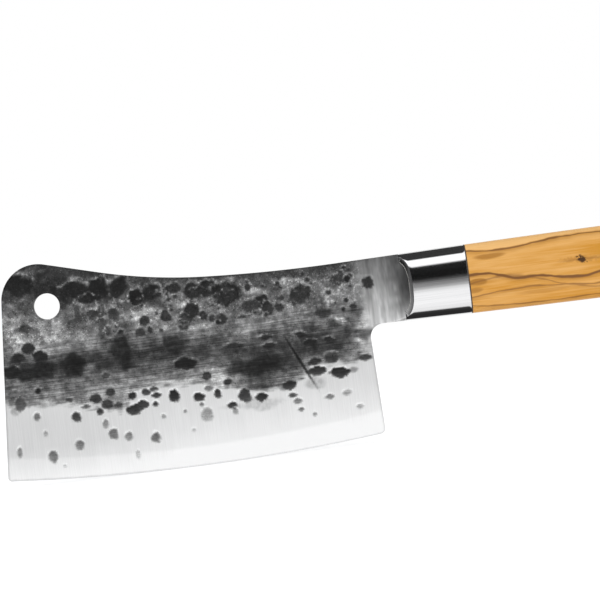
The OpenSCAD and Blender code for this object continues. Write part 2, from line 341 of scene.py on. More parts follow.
def blade_outline(blade, handle):
    """The plate's outline as points in order: straight lines whose corners are rounded by arcs, and the
    belly as one arc. Behind the start of the flare it steps inwards, where the neck covers it."""
    at = Stations(blade, handle)

    def top(x):
        return at.grip_z + at.neck_height(x) / 2

    def bottom(x):
        return at.grip_z - at.neck_height(x) / 2

    front_line = ((-blade.hole_back, 0.0), math.pi / 2 - blade.front_lean)
    spine_line = ((0.0, blade.spine_rise), -blade.spine_fall)
    dip = np.array([blade.dip, top(blade.dip)])
    sweep_line = (dip, -blade.sweep_fall)
    heel_neck = np.array([at.heel_x, bottom(at.heel_x)])
    belly_z = -at.edge_drop + at.belly_r - at.belly_r / math.cos(at.belly_turn)
    belly = np.array([at.belly_x, belly_z])
    front_corner = crossing(front_line, (belly, math.pi - at.belly_turn))
    heel_corner = crossing((heel_neck, blade.heel_lean - math.pi / 2), (belly, at.belly_turn))
    nose = crossing(front_line, spine_line)
    sweep = crossing(spine_line, sweep_line)
    nose_r = blade.nose
    dip_reach = blade.dip_radius * math.tan((blade.sweep_fall + math.atan(at.slope / 2)) / 2)
    nose_reach = nose_r * math.tan((math.pi / 2 - blade.front_lean + blade.spine_fall) / 2)
    room = min(np.linalg.norm(dip - sweep) - dip_reach, np.linalg.norm(sweep - nose) - nose_reach)
    sweep_r = 0.99 * room / math.tan((blade.spine_fall - blade.sweep_fall) / 2)
    cover, inner, tuck = neck_cover(blade, at), at.bolster_x - 1.0, 1.6
    corners = [
        (front_corner, 1.5),
        (belly, at.belly_r),
        (heel_corner, 2.5),
        (heel_neck, blade.neck_fillet),
        (np.array([cover, bottom(cover)]), 0),
        (np.array([cover + 1.0, bottom(cover) + tuck]), 0),
        (np.array([inner, bottom(inner) + tuck]), 0),
        (np.array([inner, top(inner) - tuck]), 0),
        (np.array([cover + 1.0, top(cover) - tuck]), 0),
        (np.array([cover, top(cover)]), 0),
        (dip, blade.dip_radius),
        (sweep, sweep_r),
        (nose, nose_r),
    ]
    places = [corner for corner, _ in corners]
    points = []
    for k, (corner, radius) in enumerate(corners):
        points += rounded_corner(places[k - 1], corner, places[(k + 1) % len(places)], radius)
    return np.array(points)


def nearest_on(points, chain):
    """Signed distance to a closed chain of points, positive inside, and the nearest place on it. The
    place is each point's foot on every straight piece, and the shortest is kept. A point is inside if a
    ray from it crosses the chain an odd number of times."""
    start, step = chain, np.roll(chain, -1, 0) - chain
    size = (step**2).sum(1)
    distance, foot = [], []
    for part in np.array_split(points, max(1, len(points) // 3000)):
        away = part[:, None, :] - start[None]
        t = np.clip((away * step).sum(-1) / size, 0.0, 1.0)
        gap = ((away - t[..., None] * step) ** 2).sum(-1)
        best = gap.argmin(1)
        t = t[np.arange(len(part)), best]
        foot.append(start[best] + t[:, None] * step[best])
        low, high = start[None, :, 1] > part[:, 1:], (start + step)[None, :, 1] > part[:, 1:]
        with np.errstate(divide="ignore", invalid="ignore"):
            cut = start[:, 0] + step[:, 0] * (part[:, 1:] - start[:, 1]) / step[:, 1]
        inside = ((low != high) & (part[:, :1] < cut)).sum(1) % 2 == 1
        distance.append(np.sqrt(gap[np.arange(len(part)), best]) * np.where(inside, 1.0, -1.0))
    return np.concatenate(distance), np.concatenate(foot)


def plate_distance(points, chain, hole_r):
    """Signed distance to the plate's rim, its hanging hole included, and the nearest place on the rim."""
    distance, foot = nearest_on(points, chain)
    reach = np.linalg.norm(points, axis=1)
    to_hole = reach - hole_r
    use_hole = to_hole < distance
    foot[use_hole] = points[use_hole] / np.maximum(reach[use_hole], 1e-9)[:, None] * hole_r
    return np.where(use_hole, to_hole, distance), foot


def half_thickness(x, z, blade, at):
    """Half of the plate's thickness: the spine's, then a straight taper to the shoulder, and the bevel as
    a cone that thins with the distance from the cutting edge. The least of these holds."""
    spine, shoulder = blade.spine / 2, blade.shoulder / 2
    fall = (spine - shoulder) / (at.edge_drop - blade.bevel - blade.taper_start)
    plate = np.minimum(spine, spine + (z + blade.taper_start) * fall)
    from_edge = at.belly_r - np.hypot(x - at.belly_x, z + at.edge_drop - at.belly_r)
    half_edge = blade.edge / 2
    bevel = half_edge + from_edge * (shoulder - half_edge) / blade.bevel
    return np.maximum(np.minimum(plate, bevel), half_edge)


# Hammer marks and forge scale ------------------------------------------------------------------------

# Each mark is its middle in x and z, half its length and height, its tilt in degrees, its shade from 0 to
# 255 and its depth as a share of the deepest. They go from the nose to the neck.
SPINE_MARKS = [
    (-12, 11, 6.5, 5, 0, 35, 0.8), (14, 6, 7.5, 4, 0, 35, 0.8), (24, 5, 5, 5, 0, 32, 1.0),
    (19, 1, 5, 2.5, 0, 35, 0.6), (34, 5, 4.5, 4.5, 0, 35, 1.0), (41, -1, 3, 4, 0, 28, 1.0),
    (49, 0.5, 4, 3.7, 0, 35, 1.0), (59, 1, 3.5, 2.5, 0, 45, 0.8), (67, -1, 4, 3.5, 0, 40, 1.0),
    (75, -1, 5, 3.5, 0, 35, 1.0), (83, -4, 6.5, 5, 0, 35, 1.0), (93, -3, 1.5, 1.5, 0, 50, 0.4),
    (98, -10, 3.5, 3, 0, 35, 0.8), (116, -9, 5, 4, 0, 50, 0.6), (135, -5, 3.5, 3, 0, 60, 0.7),
    (148, -8, 2.5, 3, 0, 50, 0.3),
]
MIDDLE_MARKS = [
    (20, -6, 2.5, 2.5, 0, 60, 0.6), (30, -7, 2.5, 2.5, 0, 60, 0.6), (44, -12, 2.5, 2.5, 0, 50, 0.7),
    (41, -17, 2.5, 2, 0, 60, 0.6), (54, -12, 2.5, 2, 0, 50, 0.7), (62, -14, 3.5, 3, 0, 60, 0.6),
    (66, -10, 3.5, 3.5, 0, 40, 0.8), (61, -17, 2.5, 2, 0, 65, 0.4), (71, -13, 1.5, 2, 0, 45, 0.5),
    (75, -15, 1.5, 1.5, 0, 60, 0.5), (79, -16, 2.5, 2.5, 0, 55, 0.6), (89, -16, 2, 1, 0, 60, 0.4),
    (93, -12, 3.5, 3, 0, 60, 0.5), (101, -14, 2.5, 3, 0, 50, 0.6), (106, -14, 2, 2.5, 0, 50, 0.6),
    (60, -34, 5.5, 2.5, 0, 30, 0.9), (-11, -18, 3.5, 2.5, 20, 45, 0.6), (-16, -22, 4, 2.5, 0, 45, 0.8),
    (-6, -23, 3.5, 3, 0, 40, 0.7), (-20, -28, 3.5, 3, 0, 35, 0.6), (98, -27, 3, 1.5, 0, 45, 0.8),
    (99, -31, 3, 1.5, 0, 40, 0.8), (83, -29, 4, 1.2, 0, 50, 0.6), (114, -28, 3, 1.3, -15, 40, 0.8),
    (118, -32, 3, 1.5, 0, 35, 0.8), (127, -32, 3, 1.3, -20, 40, 0.8),
    (112, -39, 12, 0.55, -65, 26, 0.4),
]
LOWER_MARKS = [
    (-20, -40, 4, 3.5, 0, 100, 0.5), (-18, -43, 2.5, 3, 0, 80, 0.5), (-9, -38, 1.3, 1.3, 0, 30, 0.4),
    (24, -43, 2, 2, 0, 60, 0.5), (23, -35, 2, 1.5, 0, 70, 0.4), (5, -44, 2, 1, 0, 70, 0.4),
    (17, -45, 2.5, 2, 0, 60, 0.5), (12, -48, 2.5, 1, 0, 80, 0.4), (18, -51, 1.5, 1.5, 0, 55, 0.6),
    (22, -48, 2.5, 2, 0, 60, 0.6), (27, -49, 2, 1.2, 0, 75, 0.5), (34, -46, 2, 2, 0, 40, 0.8),
    (40, -45, 2, 1.5, 0, 55, 0.6), (44, -44, 2, 1.3, 0, 65, 0.5), (45, -47, 2.5, 1.2, 0, 50, 0.7),
    (53, -48, 2.5, 2.7, 0, 35, 1.0), (34, -52, 3, 2.5, 0, 45, 0.9), (38, -50, 2.5, 2, 0, 50, 0.8),
    (44, -51, 1.3, 1.2, 0, 50, 0.5), (64, -50, 2.5, 1.8, 0, 40, 0.8), (69, -47, 2, 1.3, 0, 110, 0.4),
    (73, -50, 1.6, 2, 0, 50, 0.7), (69, -41, 2, 1.6, 0, 55, 0.6), (78, -45, 2, 1.4, 0, 50, 0.6),
    (79, -56, 2.6, 1.6, 0, 45, 0.9), (85, -52, 2.8, 3.2, 0, 55, 0.9), (93, -54, 3.2, 2, 0, 40, 1.0),
    (106, -50, 3.5, 2, 0, 45, 1.0), (107, -55, 1.8, 1, 0, 70, 0.5), (120, -45, 4, 2.2, 0, 45, 1.0),
    (130, -47, 4.4, 2.4, 0, 35, 1.0), (119, -41, 3, 1.8, 0, 45, 0.8), (127, -40, 3, 2.4, 0, 60, 0.6),
    (142, -42, 3.5, 1.5, 0, 60, 0.5),
]
EDGE_MARKS = [
    (7, -52, 2.6, 2.5, 0, 60, 0.8), (23, -62, 2.2, 2.5, 0, 110, 0.5), (20, -57, 1.3, 2, 0, 140, 0.3),
    (30, -64, 1.8, 2, 0, 130, 0.4), (42, -66, 2.2, 2.5, 0, 105, 0.5), (7, -65, 2, 2.4, 0, 120, 0.4),
    (-21, -65, 1.3, 2.4, 0, 130, 0.4), (-6, -69, 2.2, 3, 0, 115, 0.5), (-1, -74, 0.8, 1, 0, 190, 0.2),
    (33, -73, 0.9, 1.8, 0, 190, 0.2), (-11, -50, 1.5, 1.6, 0, 120, 0.3), (-8, -58, 1, 1.5, 0, 160, 0.3),
    (47, -57, 1, 1, 0, 150, 0.3), (57, -56, 0.8, 0.8, 0, 130, 0.2), (60, -65, 0.8, 0.8, 0, 190, 0.2),
    (80, -59, 1.3, 1.3, 0, 150, 0.3), (65, -54, 0.8, 0.8, 0, 130, 0.2),
    (67, -59, 2.4, 2.6, 0, 160, 0.3), (109, -58, 1.9, 1.2, 0, 120, 0.5),
    (110, -62, 1.6, 1, 0, 110, 0.4), (124, -58, 2.2, 1.2, 0, 120, 0.6),
    (132, -57, 1.9, 1.3, 0, 170, 0.6), (137, -64, 1.8, 1.2, 0, 180, 0.6),
    (116, -65, 0.8, 0.8, 0, 150, 0.2),
]
# Small pits: how many, and the ranges of x, z, half length, height as a share of it, shade and depth.
PITS = 56
PIT_RANGES = [(30, 146), (-19, 1), (0.5, 1.5), (0.7, 1.1), (34, 62), (0.1, 0.3)]
# Patches of lighter or darker scale: middle in x and z, half length and height, tilt and shade. The
# lightest, flecked ones are partly painted highlights.
SCALE_PATCHES_AND_HIGHLIGHTS = [
    (-5, 17, 9, 2, 0, 100), (13, 11, 3, 1.5, -15, 130), (39, -9.5, 6, 2.4, -8, 185),
    (46, -8, 5, 1.8, 10, 190), (63, -7, 5, 1.8, 12, 190), (20, -4, 4, 1.2, 0, 155),
    (15, -9, 8, 4.5, 0, 75), (24, -9, 7, 4, 0, 66), (2, 8, 11, 5, 0, 44), (7, 2, 9, 4, 0, 55),
    (4, 13, 9, 3, -10, 50), (48, -3, 6, 3.5, 0, 50), (72, -20, 6, 2, 0, 140), (84, -39, 7, 5, 0, 62),
    (84, -45, 6, 3, 0, 100), (103, -49, 5, 3, 0, 105), (118, -51, 5, 3, 0, 180),
    (90, -57, 14, 3, 0, 194), (-12, -4, 6.5, 2, 0, 150), (-11, -9, 5, 2, 0, 60),
    (-4, -10, 4.5, 2, 0, 140), (-5, -18, 15, 5, 0, 150), (-18, -12, 4.5, 3.5, 0, 150),
    (53, -18.5, 4.5, 1, 0, 110), (64, -20, 3.5, 1, 0, 130), (43, -33, 3.5, 3.5, 0, 90),
    (18, -19, 4, 3.5, 0, 150), (16, -31, 3.5, 2.5, 0, 130), (-7, -43, 15, 2.5, 0, 140),
    (-21, -46, 2, 2, 0, 170), (95, -5, 6, 2, -14, 185), (86, -6, 5, 2.2, 18, 180),
    (76, -11, 5, 1.5, -10, 165), (54, -17, 8, 1.2, 5, 160), (70, -18, 9, 1.4, 4, 165),
    (110, -3, 6, 2.6, -10, 190), (117, -4, 4, 1.8, -40, 190), (109, -15, 4, 3.5, 0, 145),
    (118, -15, 4, 3.5, 0, 140), (128, -12, 4, 6, 0, 135), (128, 1, 9, 2.5, 0, 60),
    (138, -11, 3.5, 2, 0, 120), (141, -20, 2.5, 3.5, 0, 90), (134, -24.5, 7, 1.8, -39, 225),
    (84, -20, 4, 2, 0, 90), (120, -26, 3.5, 2.5, 0, 80), (137, -29, 3, 3, 0, 70),
    (144, -31, 5, 3, 0, 90), (96, -39, 13, 6, 0, 40), (76, -33, 5.5, 7, 0, 90),
    (136, -47, 2.5, 1.5, 0, 130), (126, -19, 5.5, 3, -10, 48), (26, -15, 4, 3, 0, 58),
    (32, -25, 5.5, 8.5, 0, 34), (56, -25, 5.5, 5, 0, 42), (-9, -29, 12, 4.5, 0, 32),
    (8, -29, 6, 5.5, 0, 32), (54, -5, 6, 3, 0, 66), (67, -5, 6, 2.5, 0, 62),
]
# Shade of bare scale, and the long level bands in it. Each band runs from one x and z to another, and has
# half a height, and a shade at each end.
SCALE_SHADE = 108
SCALE_BANDS = [
    (-30, 13, 150, 10, 14, 60, 60), (-30, -7, 14, -12, 9, 158, 150), (14, -11, 150, -10, 5, 120, 108),
    (50, -20, 108, -21, 4, 112, 138), (-30, -27, 70, -28, 5.5, 62, 64), (70, -30, 140, -35, 6, 70, 62),
    (84, -39, 112, -40, 6, 56, 62), (-30, -44, 82, -45, 7, 130, 172), (110, -49, 150, -48, 7, 150, 190),
]
# Painted shade of the neck at its top and bottom, and of the hollow before the bolster as a patch.
NECK_PAINTED_SHADES = [(3, 108), (-27, 212)]
NECK_HOLLOW_PAINTED_SHADE = (167, -9, 7, 15, 0, 62)
# Where the bright ground band begins, as stations and heights, and its shade down to the edge, as heights
# with the shade below the nose and the shade towards the heel.
BAND_BORDER = [
    (-28, -42), (-15, -44), (0, -46), (20, -50), (31, -51), (34, -44), (50, -43), (70, -45),
    (80, -48), (95, -51), (106, -50), (118, -43), (150, -42),
]
BAND_SHADES = [(-45, 216, 214), (-64, 213, 234), (-80, 238, 251)]
FULL_SHADE = 255.0
# How far the patches lie displaced on the far face.
FAR_SHIFT = 4.0


def mark_reach(x, z, mark):
    """Distance from a mark's middle as a share of its half length and half height: 1 along its rim. Round
    marks are ellipses, and long ones are lenses, (a^1.4 + b^1.4)^(1/1.4)."""
    turn = math.radians(mark[4])
    across, up = x - mark[0], z - mark[1]
    along = (across * math.cos(turn) + up * math.sin(turn)) / mark[2]
    over = (up * math.cos(turn) - across * math.sin(turn)) / mark[3]
    bend = 1.4 if 1.5 * mark[3] < mark[2] < 8 * mark[3] else 2.0
    return (np.abs(along) ** bend + np.abs(over) ** bend) ** (1 / bend)


def side_marks(side):
    """The marks as they fall on one face, with a scatter of small pits through the coarse scale. The far
    face has them at other sizes and a little displaced."""
    random = np.random.default_rng(12)
    x, z, half, share, shade, depth = (random.uniform(low, high, PITS) for low, high in PIT_RANGES)
    pits = np.stack([x, z, half, half * share, 0 * x, shade, depth], -1)
    marks = np.concatenate([np.array(SPINE_MARKS + MIDDLE_MARKS + LOWER_MARKS + EDGE_MARKS, float), pits])
    if side > 0:
        random = np.random.default_rng(11)
        marks[:, 0] += random.uniform(-5, 5, len(marks))
        marks[:, 1] += random.uniform(-2.5, 2.5, len(marks))
        marks[:, 2:4] *= random.uniform(0.75, 1.25, (len(marks), 2))
        marks[:, 5] = np.clip(marks[:, 5] * random.uniform(0.85, 1.25, len(marks)), 25, 220)
    return marks


def dent_depth(x, z, side, deepest):
    """How deep the hammer marks go: each is a bowl, (1 - r^2)^2 of its depth, with a low raised lip."""
    wobble = 0.16 * drift(x, z, 1.7, 21 + side) + 0.08 * drift(x, z, 0.9, 23 + side)
    depth = np.zeros_like(x)
    for mark in side_marks(side):
        r = mark_reach(x, z, mark) + wobble
        bowl = np.clip(1 - r * r, 0, 1) ** 2
        lip = 0.22 * np.exp(-(((r - 1.12) / 0.16) ** 2))
        depth = np.maximum(depth, 0) + mark[6] * deepest * (bowl - lip) * np.where(depth > 0.05, 0.6, 1.0)
    hammered = smooth_step(-50, -38, z)
    depth += hammered * deepest * (0.16 * drift(x, z, 6.5, 31 + side) + 0.07 * drift(x, z, 2.6, 33 + side))
    return depth


def banded_shade(x, z):
    """Shade before patches and marks: bare scale, then each level band, exp(-d^2) of its distance d in half
    heights and soft at both ends, then the neck's painted shade: a straight ramp from top to bottom,
    darker above and lighter below, and a darker painted shade in its hollow."""
    shade = np.full_like(x, SCALE_SHADE)
    for start, start_z, end, end_z, half, first, last in SCALE_BANDS:
        along = (x - start) / (end - start)
        away = (z - start_z - (end_z - start_z) * along) / half
        ends = smooth_step(-8.0, 8.0, x - start) * smooth_step(8.0, -8.0, x - end)
        shade += (first + (last - first) * np.clip(along, 0, 1) - shade) * np.exp(-away * away) * ends
    # Painted shade on the neck: darker at the top, lighter at the bottom, and darker in the hollow.
    (top, upper), (bottom, lower) = NECK_PAINTED_SHADES
    neck = upper + (lower - upper) * np.clip((z - top) / (bottom - top), 0, 1)
    neck += (NECK_HOLLOW_PAINTED_SHADE[5] - neck) * np.exp(-mark_reach(x, z, NECK_HOLLOW_PAINTED_SHADE) ** 2)
    return shade + (neck - shade) * smooth_step(136, 148, x)


def ground_band(x, z, seed, wander):
    """Shade of the bright ground band, how much of it shows, 0 above its wandering border and 1 below, and
    the level grinding streaks that also fray that border."""
    streaks = 0.6 * drift(x / 7.0, z, 1.0, seed + 8) + 0.4 * drift(x / 5.0, z, 0.5, seed + 9)
    border = np.interp(x, *np.array(BAND_BORDER, float).T) + 0.8 * wander + 1.4 * streaks
    heights, nose, heel = np.array(BAND_SHADES, float).T
    band = np.interp(-z, -heights, nose)
    band += (np.interp(-z, -heights, heel) - band) * smooth_step(-10, 90, x)
    band += 3 * drift(x, z, 9.0, seed + 16)
    return band, smooth_step(1.8, -1.8, z - border), streaks


def painted_crest_highlights(x, z, seed, fleck):
    """Thin painted highlights along bright crests between the marks of the upper scale: where a drift is
    near zero, 1 - |drift|.
    """
    crest = 1 - np.abs(drift(x, z, 3.4, seed + 10) + 0.45 * drift(x, z, 1.3, seed + 11))
    crest = smooth_step(0.70, 1.0, crest) * smooth_step(-21, -15, z) * smooth_step(7, 1, z + 0.05 * x)
    return crest * 85 * (0.35 + 0.65 * fleck) * smooth_step(-0.5, 0.5, drift(x, z, 7.0, seed + 12))


def lay_marks(shade, coarse, x, z, side, seed, ground, fleck, wobble):
    """Blends each mark into the shade by how near the point is to its middle, paler where the mark is
    soft. Inside each mark a painted shade runs from darker at the top to lighter at the bottom, and a
    painted highlight runs along its upper rim. Inside a mark the scale is at least half coarse."""
    for mark in side_marks(side):
        half, tall, tone = mark[2], mark[3], mark[5]
        r = mark_reach(x, z, mark)
        if tall > 1.0 or half < 5.0:
            r = r + 0.75 * wobble + 0.10 * drift(x, z, 0.8, seed + 14)
        over = np.clip((z - mark[1]) / tall, -1, 1)
        # Painted shade: inside the mark, darker at the top and lighter at the bottom.
        inside = tone - over * (8 + 18 * ground)
        soft = max(0.11 + 0.45 * (tone / FULL_SHADE) ** 1.5, 0.30 / tall)
        cover = smooth_step(1 + soft, max(1 - soft, 0.1), r + 0.12 * over)
        shade += (inside - shade) * 0.94 * cover
        coarse = np.maximum(coarse, 0.5 * cover)
        # Painted highlight: a bright arc along the mark's upper rim.
        width = max(0.13, 0.35 / tall)
        lit = np.exp(-(((r - 1.05 - width) / width) ** 2)) * smooth_step(0.0, 0.7, over)
        lit *= (0.3 + 0.7 * fleck) * (0.75 if half < 11 else 0.15)
        shade += (np.maximum(shade, 175 + 80 * ground) - shade) * lit
    return shade, coarse


def scale_tone_and_painted_light(x, z, side):
    """Shade of the face from 0 to 1, as displayed, and how coarse its scale is. Forge scale lies above a
    wandering border and the ground band below it. Then come soft patches, the lightest of them partly
    painted highlights, thin painted highlights along crests between the marks, level grinding streaks,
    the marks themselves with their painted shade and painted rim highlights, and upright streaks on the
    neck."""
    seed = 40 + int(side)
    wander = 1.5 * drift(x, z, 8.0, seed) + 1.0 * drift(x, z, 2.5, seed + 1)
    shade = banded_shade(x + 1.2 * wander, z + wander)
    band, ground, streaks = ground_band(x, z, seed, wander)
    shade += (band - shade) * ground
    neck = smooth_step(140, 148, x)
    scale = (1 - ground) * (1 - neck)
    fleck = smooth_step(-0.6, 0.4, drift(x, z, 0.9, seed + 15))
    wobble = 0.30 * drift(x, z, 4.0, seed + 2) + 0.22 * drift(x, z, 1.4, seed + 3)
    shift = FAR_SHIFT if side > 0 else 0.0
    for patch in SCALE_PATCHES_AND_HIGHLIGHTS:
        r = mark_reach(x + shift, z, patch) + wobble
        # Patches lighter than 135 are flecked: partly lighter scale, partly painted highlights.
        cover = smooth_step(1.25, 0.45, r) * (0.55 + 0.45 * fleck if patch[5] > 135 else 0.85)
        shade += (patch[5] - shade) * cover
    # Painted highlights along thin crests between the marks.
    shade += scale * painted_crest_highlights(x, z, seed, fleck)
    shade *= 1 + scale * (0.20 * drift(x, z, 5.0, seed + 4) + 0.17 * drift(x, z, 2.0, seed + 5))
    shade *= 1 + scale * 0.09 * drift(x, z, 0.8, seed + 6)
    shade *= 1 + scale * smooth_step(-10, -18, z) * 0.26 * streaks
    shade, coarse = lay_marks(shade, scale.copy(), x, z, side, seed, ground, fleck, wobble)
    brushed = 0.12 * drift(x, z * 0.12, 1.6, seed + 7) + 0.08 * drift(x, z * 0.2, 0.6, seed + 17)
    shade *= 1 + neck * (1 - ground) * brushed
    return np.clip(shade / FULL_SHADE, 0.06, 0.98), coarse


def plate_faces(blade, handle, deepest):
    """The plate as two sheets and a rim. A square grid of points is cut along a line just inside the
    outline: triangles wholly inside stay, and those across the line are cut where it crosses their
    sides. The sheets stand half a thickness apart from the middle, less the marks, and a quarter round
    on each side joins them to the rim. Returns the points, the faces, each point's shade, with a painted
    shade that makes it a little darker by the rim, and its coarseness."""
    at = Stations(blade, handle)
    chain = blade_outline(blade, handle)
    pitch, rim = blade.pitch, blade.rim
    low, high = chain.min(0) - pitch, chain.max(0) + pitch
    xs, zs = np.arange(low[0], high[0] + pitch, pitch), np.arange(low[1], high[1] + pitch, pitch)
    grid = np.stack(np.meshgrid(xs, zs, indexing="ij"), -1).reshape(-1, 2)
    distance, foot = plate_distance(grid, chain, blade.hole / 2)
    level = distance - rim
    near = np.abs(level) < 0.28 * pitch
    inward = (grid[near] - foot[near]) / distance[near][:, None]
    grid[near] = foot[near] + inward * rim
    level[near] = 0.0
    state = np.sign(level).astype(int)

    i, j = np.meshgrid(np.arange(len(xs) - 1), np.arange(len(zs) - 1), indexing="ij")
    a = (i * len(zs) + j).ravel()
    b, c, d = a + len(zs), a + len(zs) + 1, a + 1
    flip = ((i + j) % 2 == 0).ravel()
    first = np.where(flip[:, None], np.stack([a, b, c], -1), np.stack([a, b, d], -1))
    second = np.where(flip[:, None], np.stack([a, c, d], -1), np.stack([b, c, d], -1))
    triangles = np.concatenate([first, second])
    marks = state[triangles]
    whole = (marks.min(1) >= 0) & (marks.max(1) > 0)
    kept = [triangles[whole]]
    total = len(grid)

    def cut(p, q):
        return -(np.minimum(p, q) * total + np.maximum(p, q)) - 1

    for k in range(3):
        p, q, r = np.roll(triangles, -k, 1).T
        sp, sq, sr = np.roll(marks, -k, 1).T
        one = (sp > 0) & (sq < 0) & (sr < 0)
        kept.append(np.stack([p, cut(p, q), cut(p, r)], -1)[one])
        two = (sp < 0) & (sq > 0) & (sr > 0)
        kept.append(np.stack([q, r, cut(r, p)], -1)[two])
        kept.append(np.stack([q, cut(r, p), cut(p, q)], -1)[two])
        left = (sp > 0) & (sq == 0) & (sr < 0)
        kept.append(np.stack([p, q, cut(p, r)], -1)[left])
        right = (sp > 0) & (sq < 0) & (sr == 0)
        kept.append(np.stack([p, cut(p, q), r], -1)[right])
    triangles = np.concatenate(kept)
    codes, index = np.unique(triangles, return_inverse=True)
    triangles = index.reshape(triangles.shape)
    new = codes < 0
    pair = -(codes[new] + 1)
    p, q = pair // total, pair % total
    share = (level[p] / (level[p] - level[q]))[:, None]
    flat = np.empty((len(codes), 2))
    flat[~new] = grid[codes[~new]]
    flat[new] = grid[p] * (1 - share) + grid[q] * share
    off, foot = plate_distance(flat, chain, blade.hole / 2)
    inward = (flat - foot) / np.maximum(off, 1e-6)[:, None]
    flat[new] = foot[new] + inward[new] * rim

    sides = np.concatenate([triangles[:, [0, 1]], triangles[:, [1, 2]], triangles[:, [2, 0]]])
    keys = np.minimum(sides[:, 0], sides[:, 1]) * len(flat) + np.maximum(sides[:, 0], sides[:, 1])
    _, back, count = np.unique(keys, return_inverse=True, return_counts=True)
    border = sides[count[back] == 1]
    ring = np.unique(border)
    place = np.full(len(flat), -1)
    place[ring] = np.arange(len(ring))

    x, z = flat.T
    half = half_thickness(x, z, blade, at)
    fade = smooth_step(0.0, 1.6, off - rim) * smooth_step(at.flare_x + 0.5, at.flare_x - 5.0, x)
    # Painted shade: a thin darker line just inside the rim, but not around the hanging hole.
    rim_painted_shade = np.exp(-(((off - rim) / 0.35) ** 2)) * np.where(np.hypot(x, z) < 8.0, 0.0, 1.0)
    sheets, shades, grains = [], [], []
    for side in (-1, 1):
        depth = fade * dent_depth(x, z, side, deepest)
        sheets.append(np.stack([x, side * (half - depth), z], -1))
        shade, coarse = scale_tone_and_painted_light(x, z, side)
        shades.append(shade * (1 - 0.13 * rim_painted_shade))
        grains.append(coarse)
    outward = -inward[ring]
    rim_half = half[ring]
    round_y = np.minimum(0.9 * rim, 0.8 * rim_half)
    strips = []
    for side, angles in ((-1, (30, 60, 90)), (1, (90, 60, 30))):
        for angle in angles:
            t = math.radians(angle)
            out = flat[ring] + outward * rim * math.sin(t)
            y = side * (rim_half - round_y * (1 - math.cos(t)))
            strips.append(np.stack([out[:, 0], y, out[:, 1]], -1))
            shades.append(shades[0 if side < 0 else 1][ring])
            grains.append(grains[0 if side < 0 else 1][ring])
    points = np.concatenate(sheets + strips)
    n, m = len(flat), len(ring)
    lines = [ring] + [2 * n + k * m + np.arange(m) for k in range(6)] + [n + ring]
    faces = triangles.tolist() + (triangles[:, ::-1] + n).tolist()
    p, q = place[border[:, 0]], place[border[:, 1]]
    for here, beyond in zip(lines, lines[1:]):
        faces += np.stack([here[q], here[p], beyond[p], beyond[q]], -1).tolist()
    return points, faces, np.concatenate(shades), np.concatenate(grains)


# The flat tang: half its height at its front and its end, and half its thickness.
TANG_HEIGHTS = [8.0, 4.5]
TANG_HALF = 1.7


def neck_rings(blade, handle):
    """The flared neck, its collar in the sleeve and the flat tang, as rings of points. Each ring is an
    oval, |y/w|^n + |z/h|^n = 1, whose sides are cut off at the hollow grind's half width. The cut is
    eased by y' = g y / (y^p + g^p)^(1/p), which rounds the crease."""
    at = Stations(blade, handle)
    n = handle.squareness
    wide = handle.bolster_width / 2
    skin = handle.wall + 0.2
    collar_end = at.bolster_x + handle.collar
    tang_end = collar_end + handle.tang
    behind = np.linspace(1.0, at.bolster_x - at.flare_x - 0.01, 44)
    flare = at.flare_x + np.concatenate([[-0.6, -0.1, 0.5], behind])
    hollow = np.linspace(at.bolster_x + 0.01, at.grind_station(wide - skin) - 0.02, 12)
    collar = np.array([at.grind_station(wide - skin) + 0.3, collar_end - 0.01])
    tang = np.array([collar_end, tang_end])
    x = np.concatenate([flare, hollow, collar, tang])
    tall = at.neck_height(x) / 2
    width = np.full_like(x, wide)
    inside = x > at.bolster_x
    width[inside] -= skin
    tall[inside] -= skin
    cut = np.minimum(at.grind(x), width * 0.999)
    cut[x < at.flare_x + 0.7] -= [0.12, 0.06, 0.0]
    tall[x < at.flare_x + 0.7] -= [0.12, 0.06, 0.0]
    tall[x < neck_cover(blade, at) + 0.2] -= 0.04
    tang_rows = x >= collar_end
    tall[tang_rows] = TANG_HEIGHTS
    width[tang_rows] = TANG_HALF
    cut[tang_rows] = TANG_HALF - 0.01
    corner = np.arccos(np.clip((cut / width) ** (n / 2), 0.0, 0.9995))[:, None]
    spread = np.sin(np.linspace(-1, 1, 49)[:-1] * math.pi / 2)
    crown = np.linspace(0, 1, 25)[:-1]
    top_z = np.sin(corner) ** (2 / n)
    arcs, walls = corner + (math.pi - 2 * corner) * crown, top_z * spread
    arc_y, arc_z = power(np.cos(arcs), 2 / n), np.abs(np.sin(arcs)) ** (2 / n)
    wall_y = (1 - np.abs(walls) ** n) ** (1 / n)
    y = np.concatenate([wall_y, arc_y, -wall_y, -arc_y], 1) * width[:, None]
    z = np.concatenate([walls, arc_z, -walls, -arc_z], 1) * tall[:, None]
    g, p = cut[:, None], 14.0
    y = g * y / (np.abs(y) ** p + g**p) ** (1 / p)
    rings = np.stack([np.broadcast_to(x[:, None], y.shape), y, z + at.grip_z], -1)
    poles = np.array([[x[0], 0.0, at.grip_z], [x[-1], 0.0, at.grip_z]])
    return rings, poles


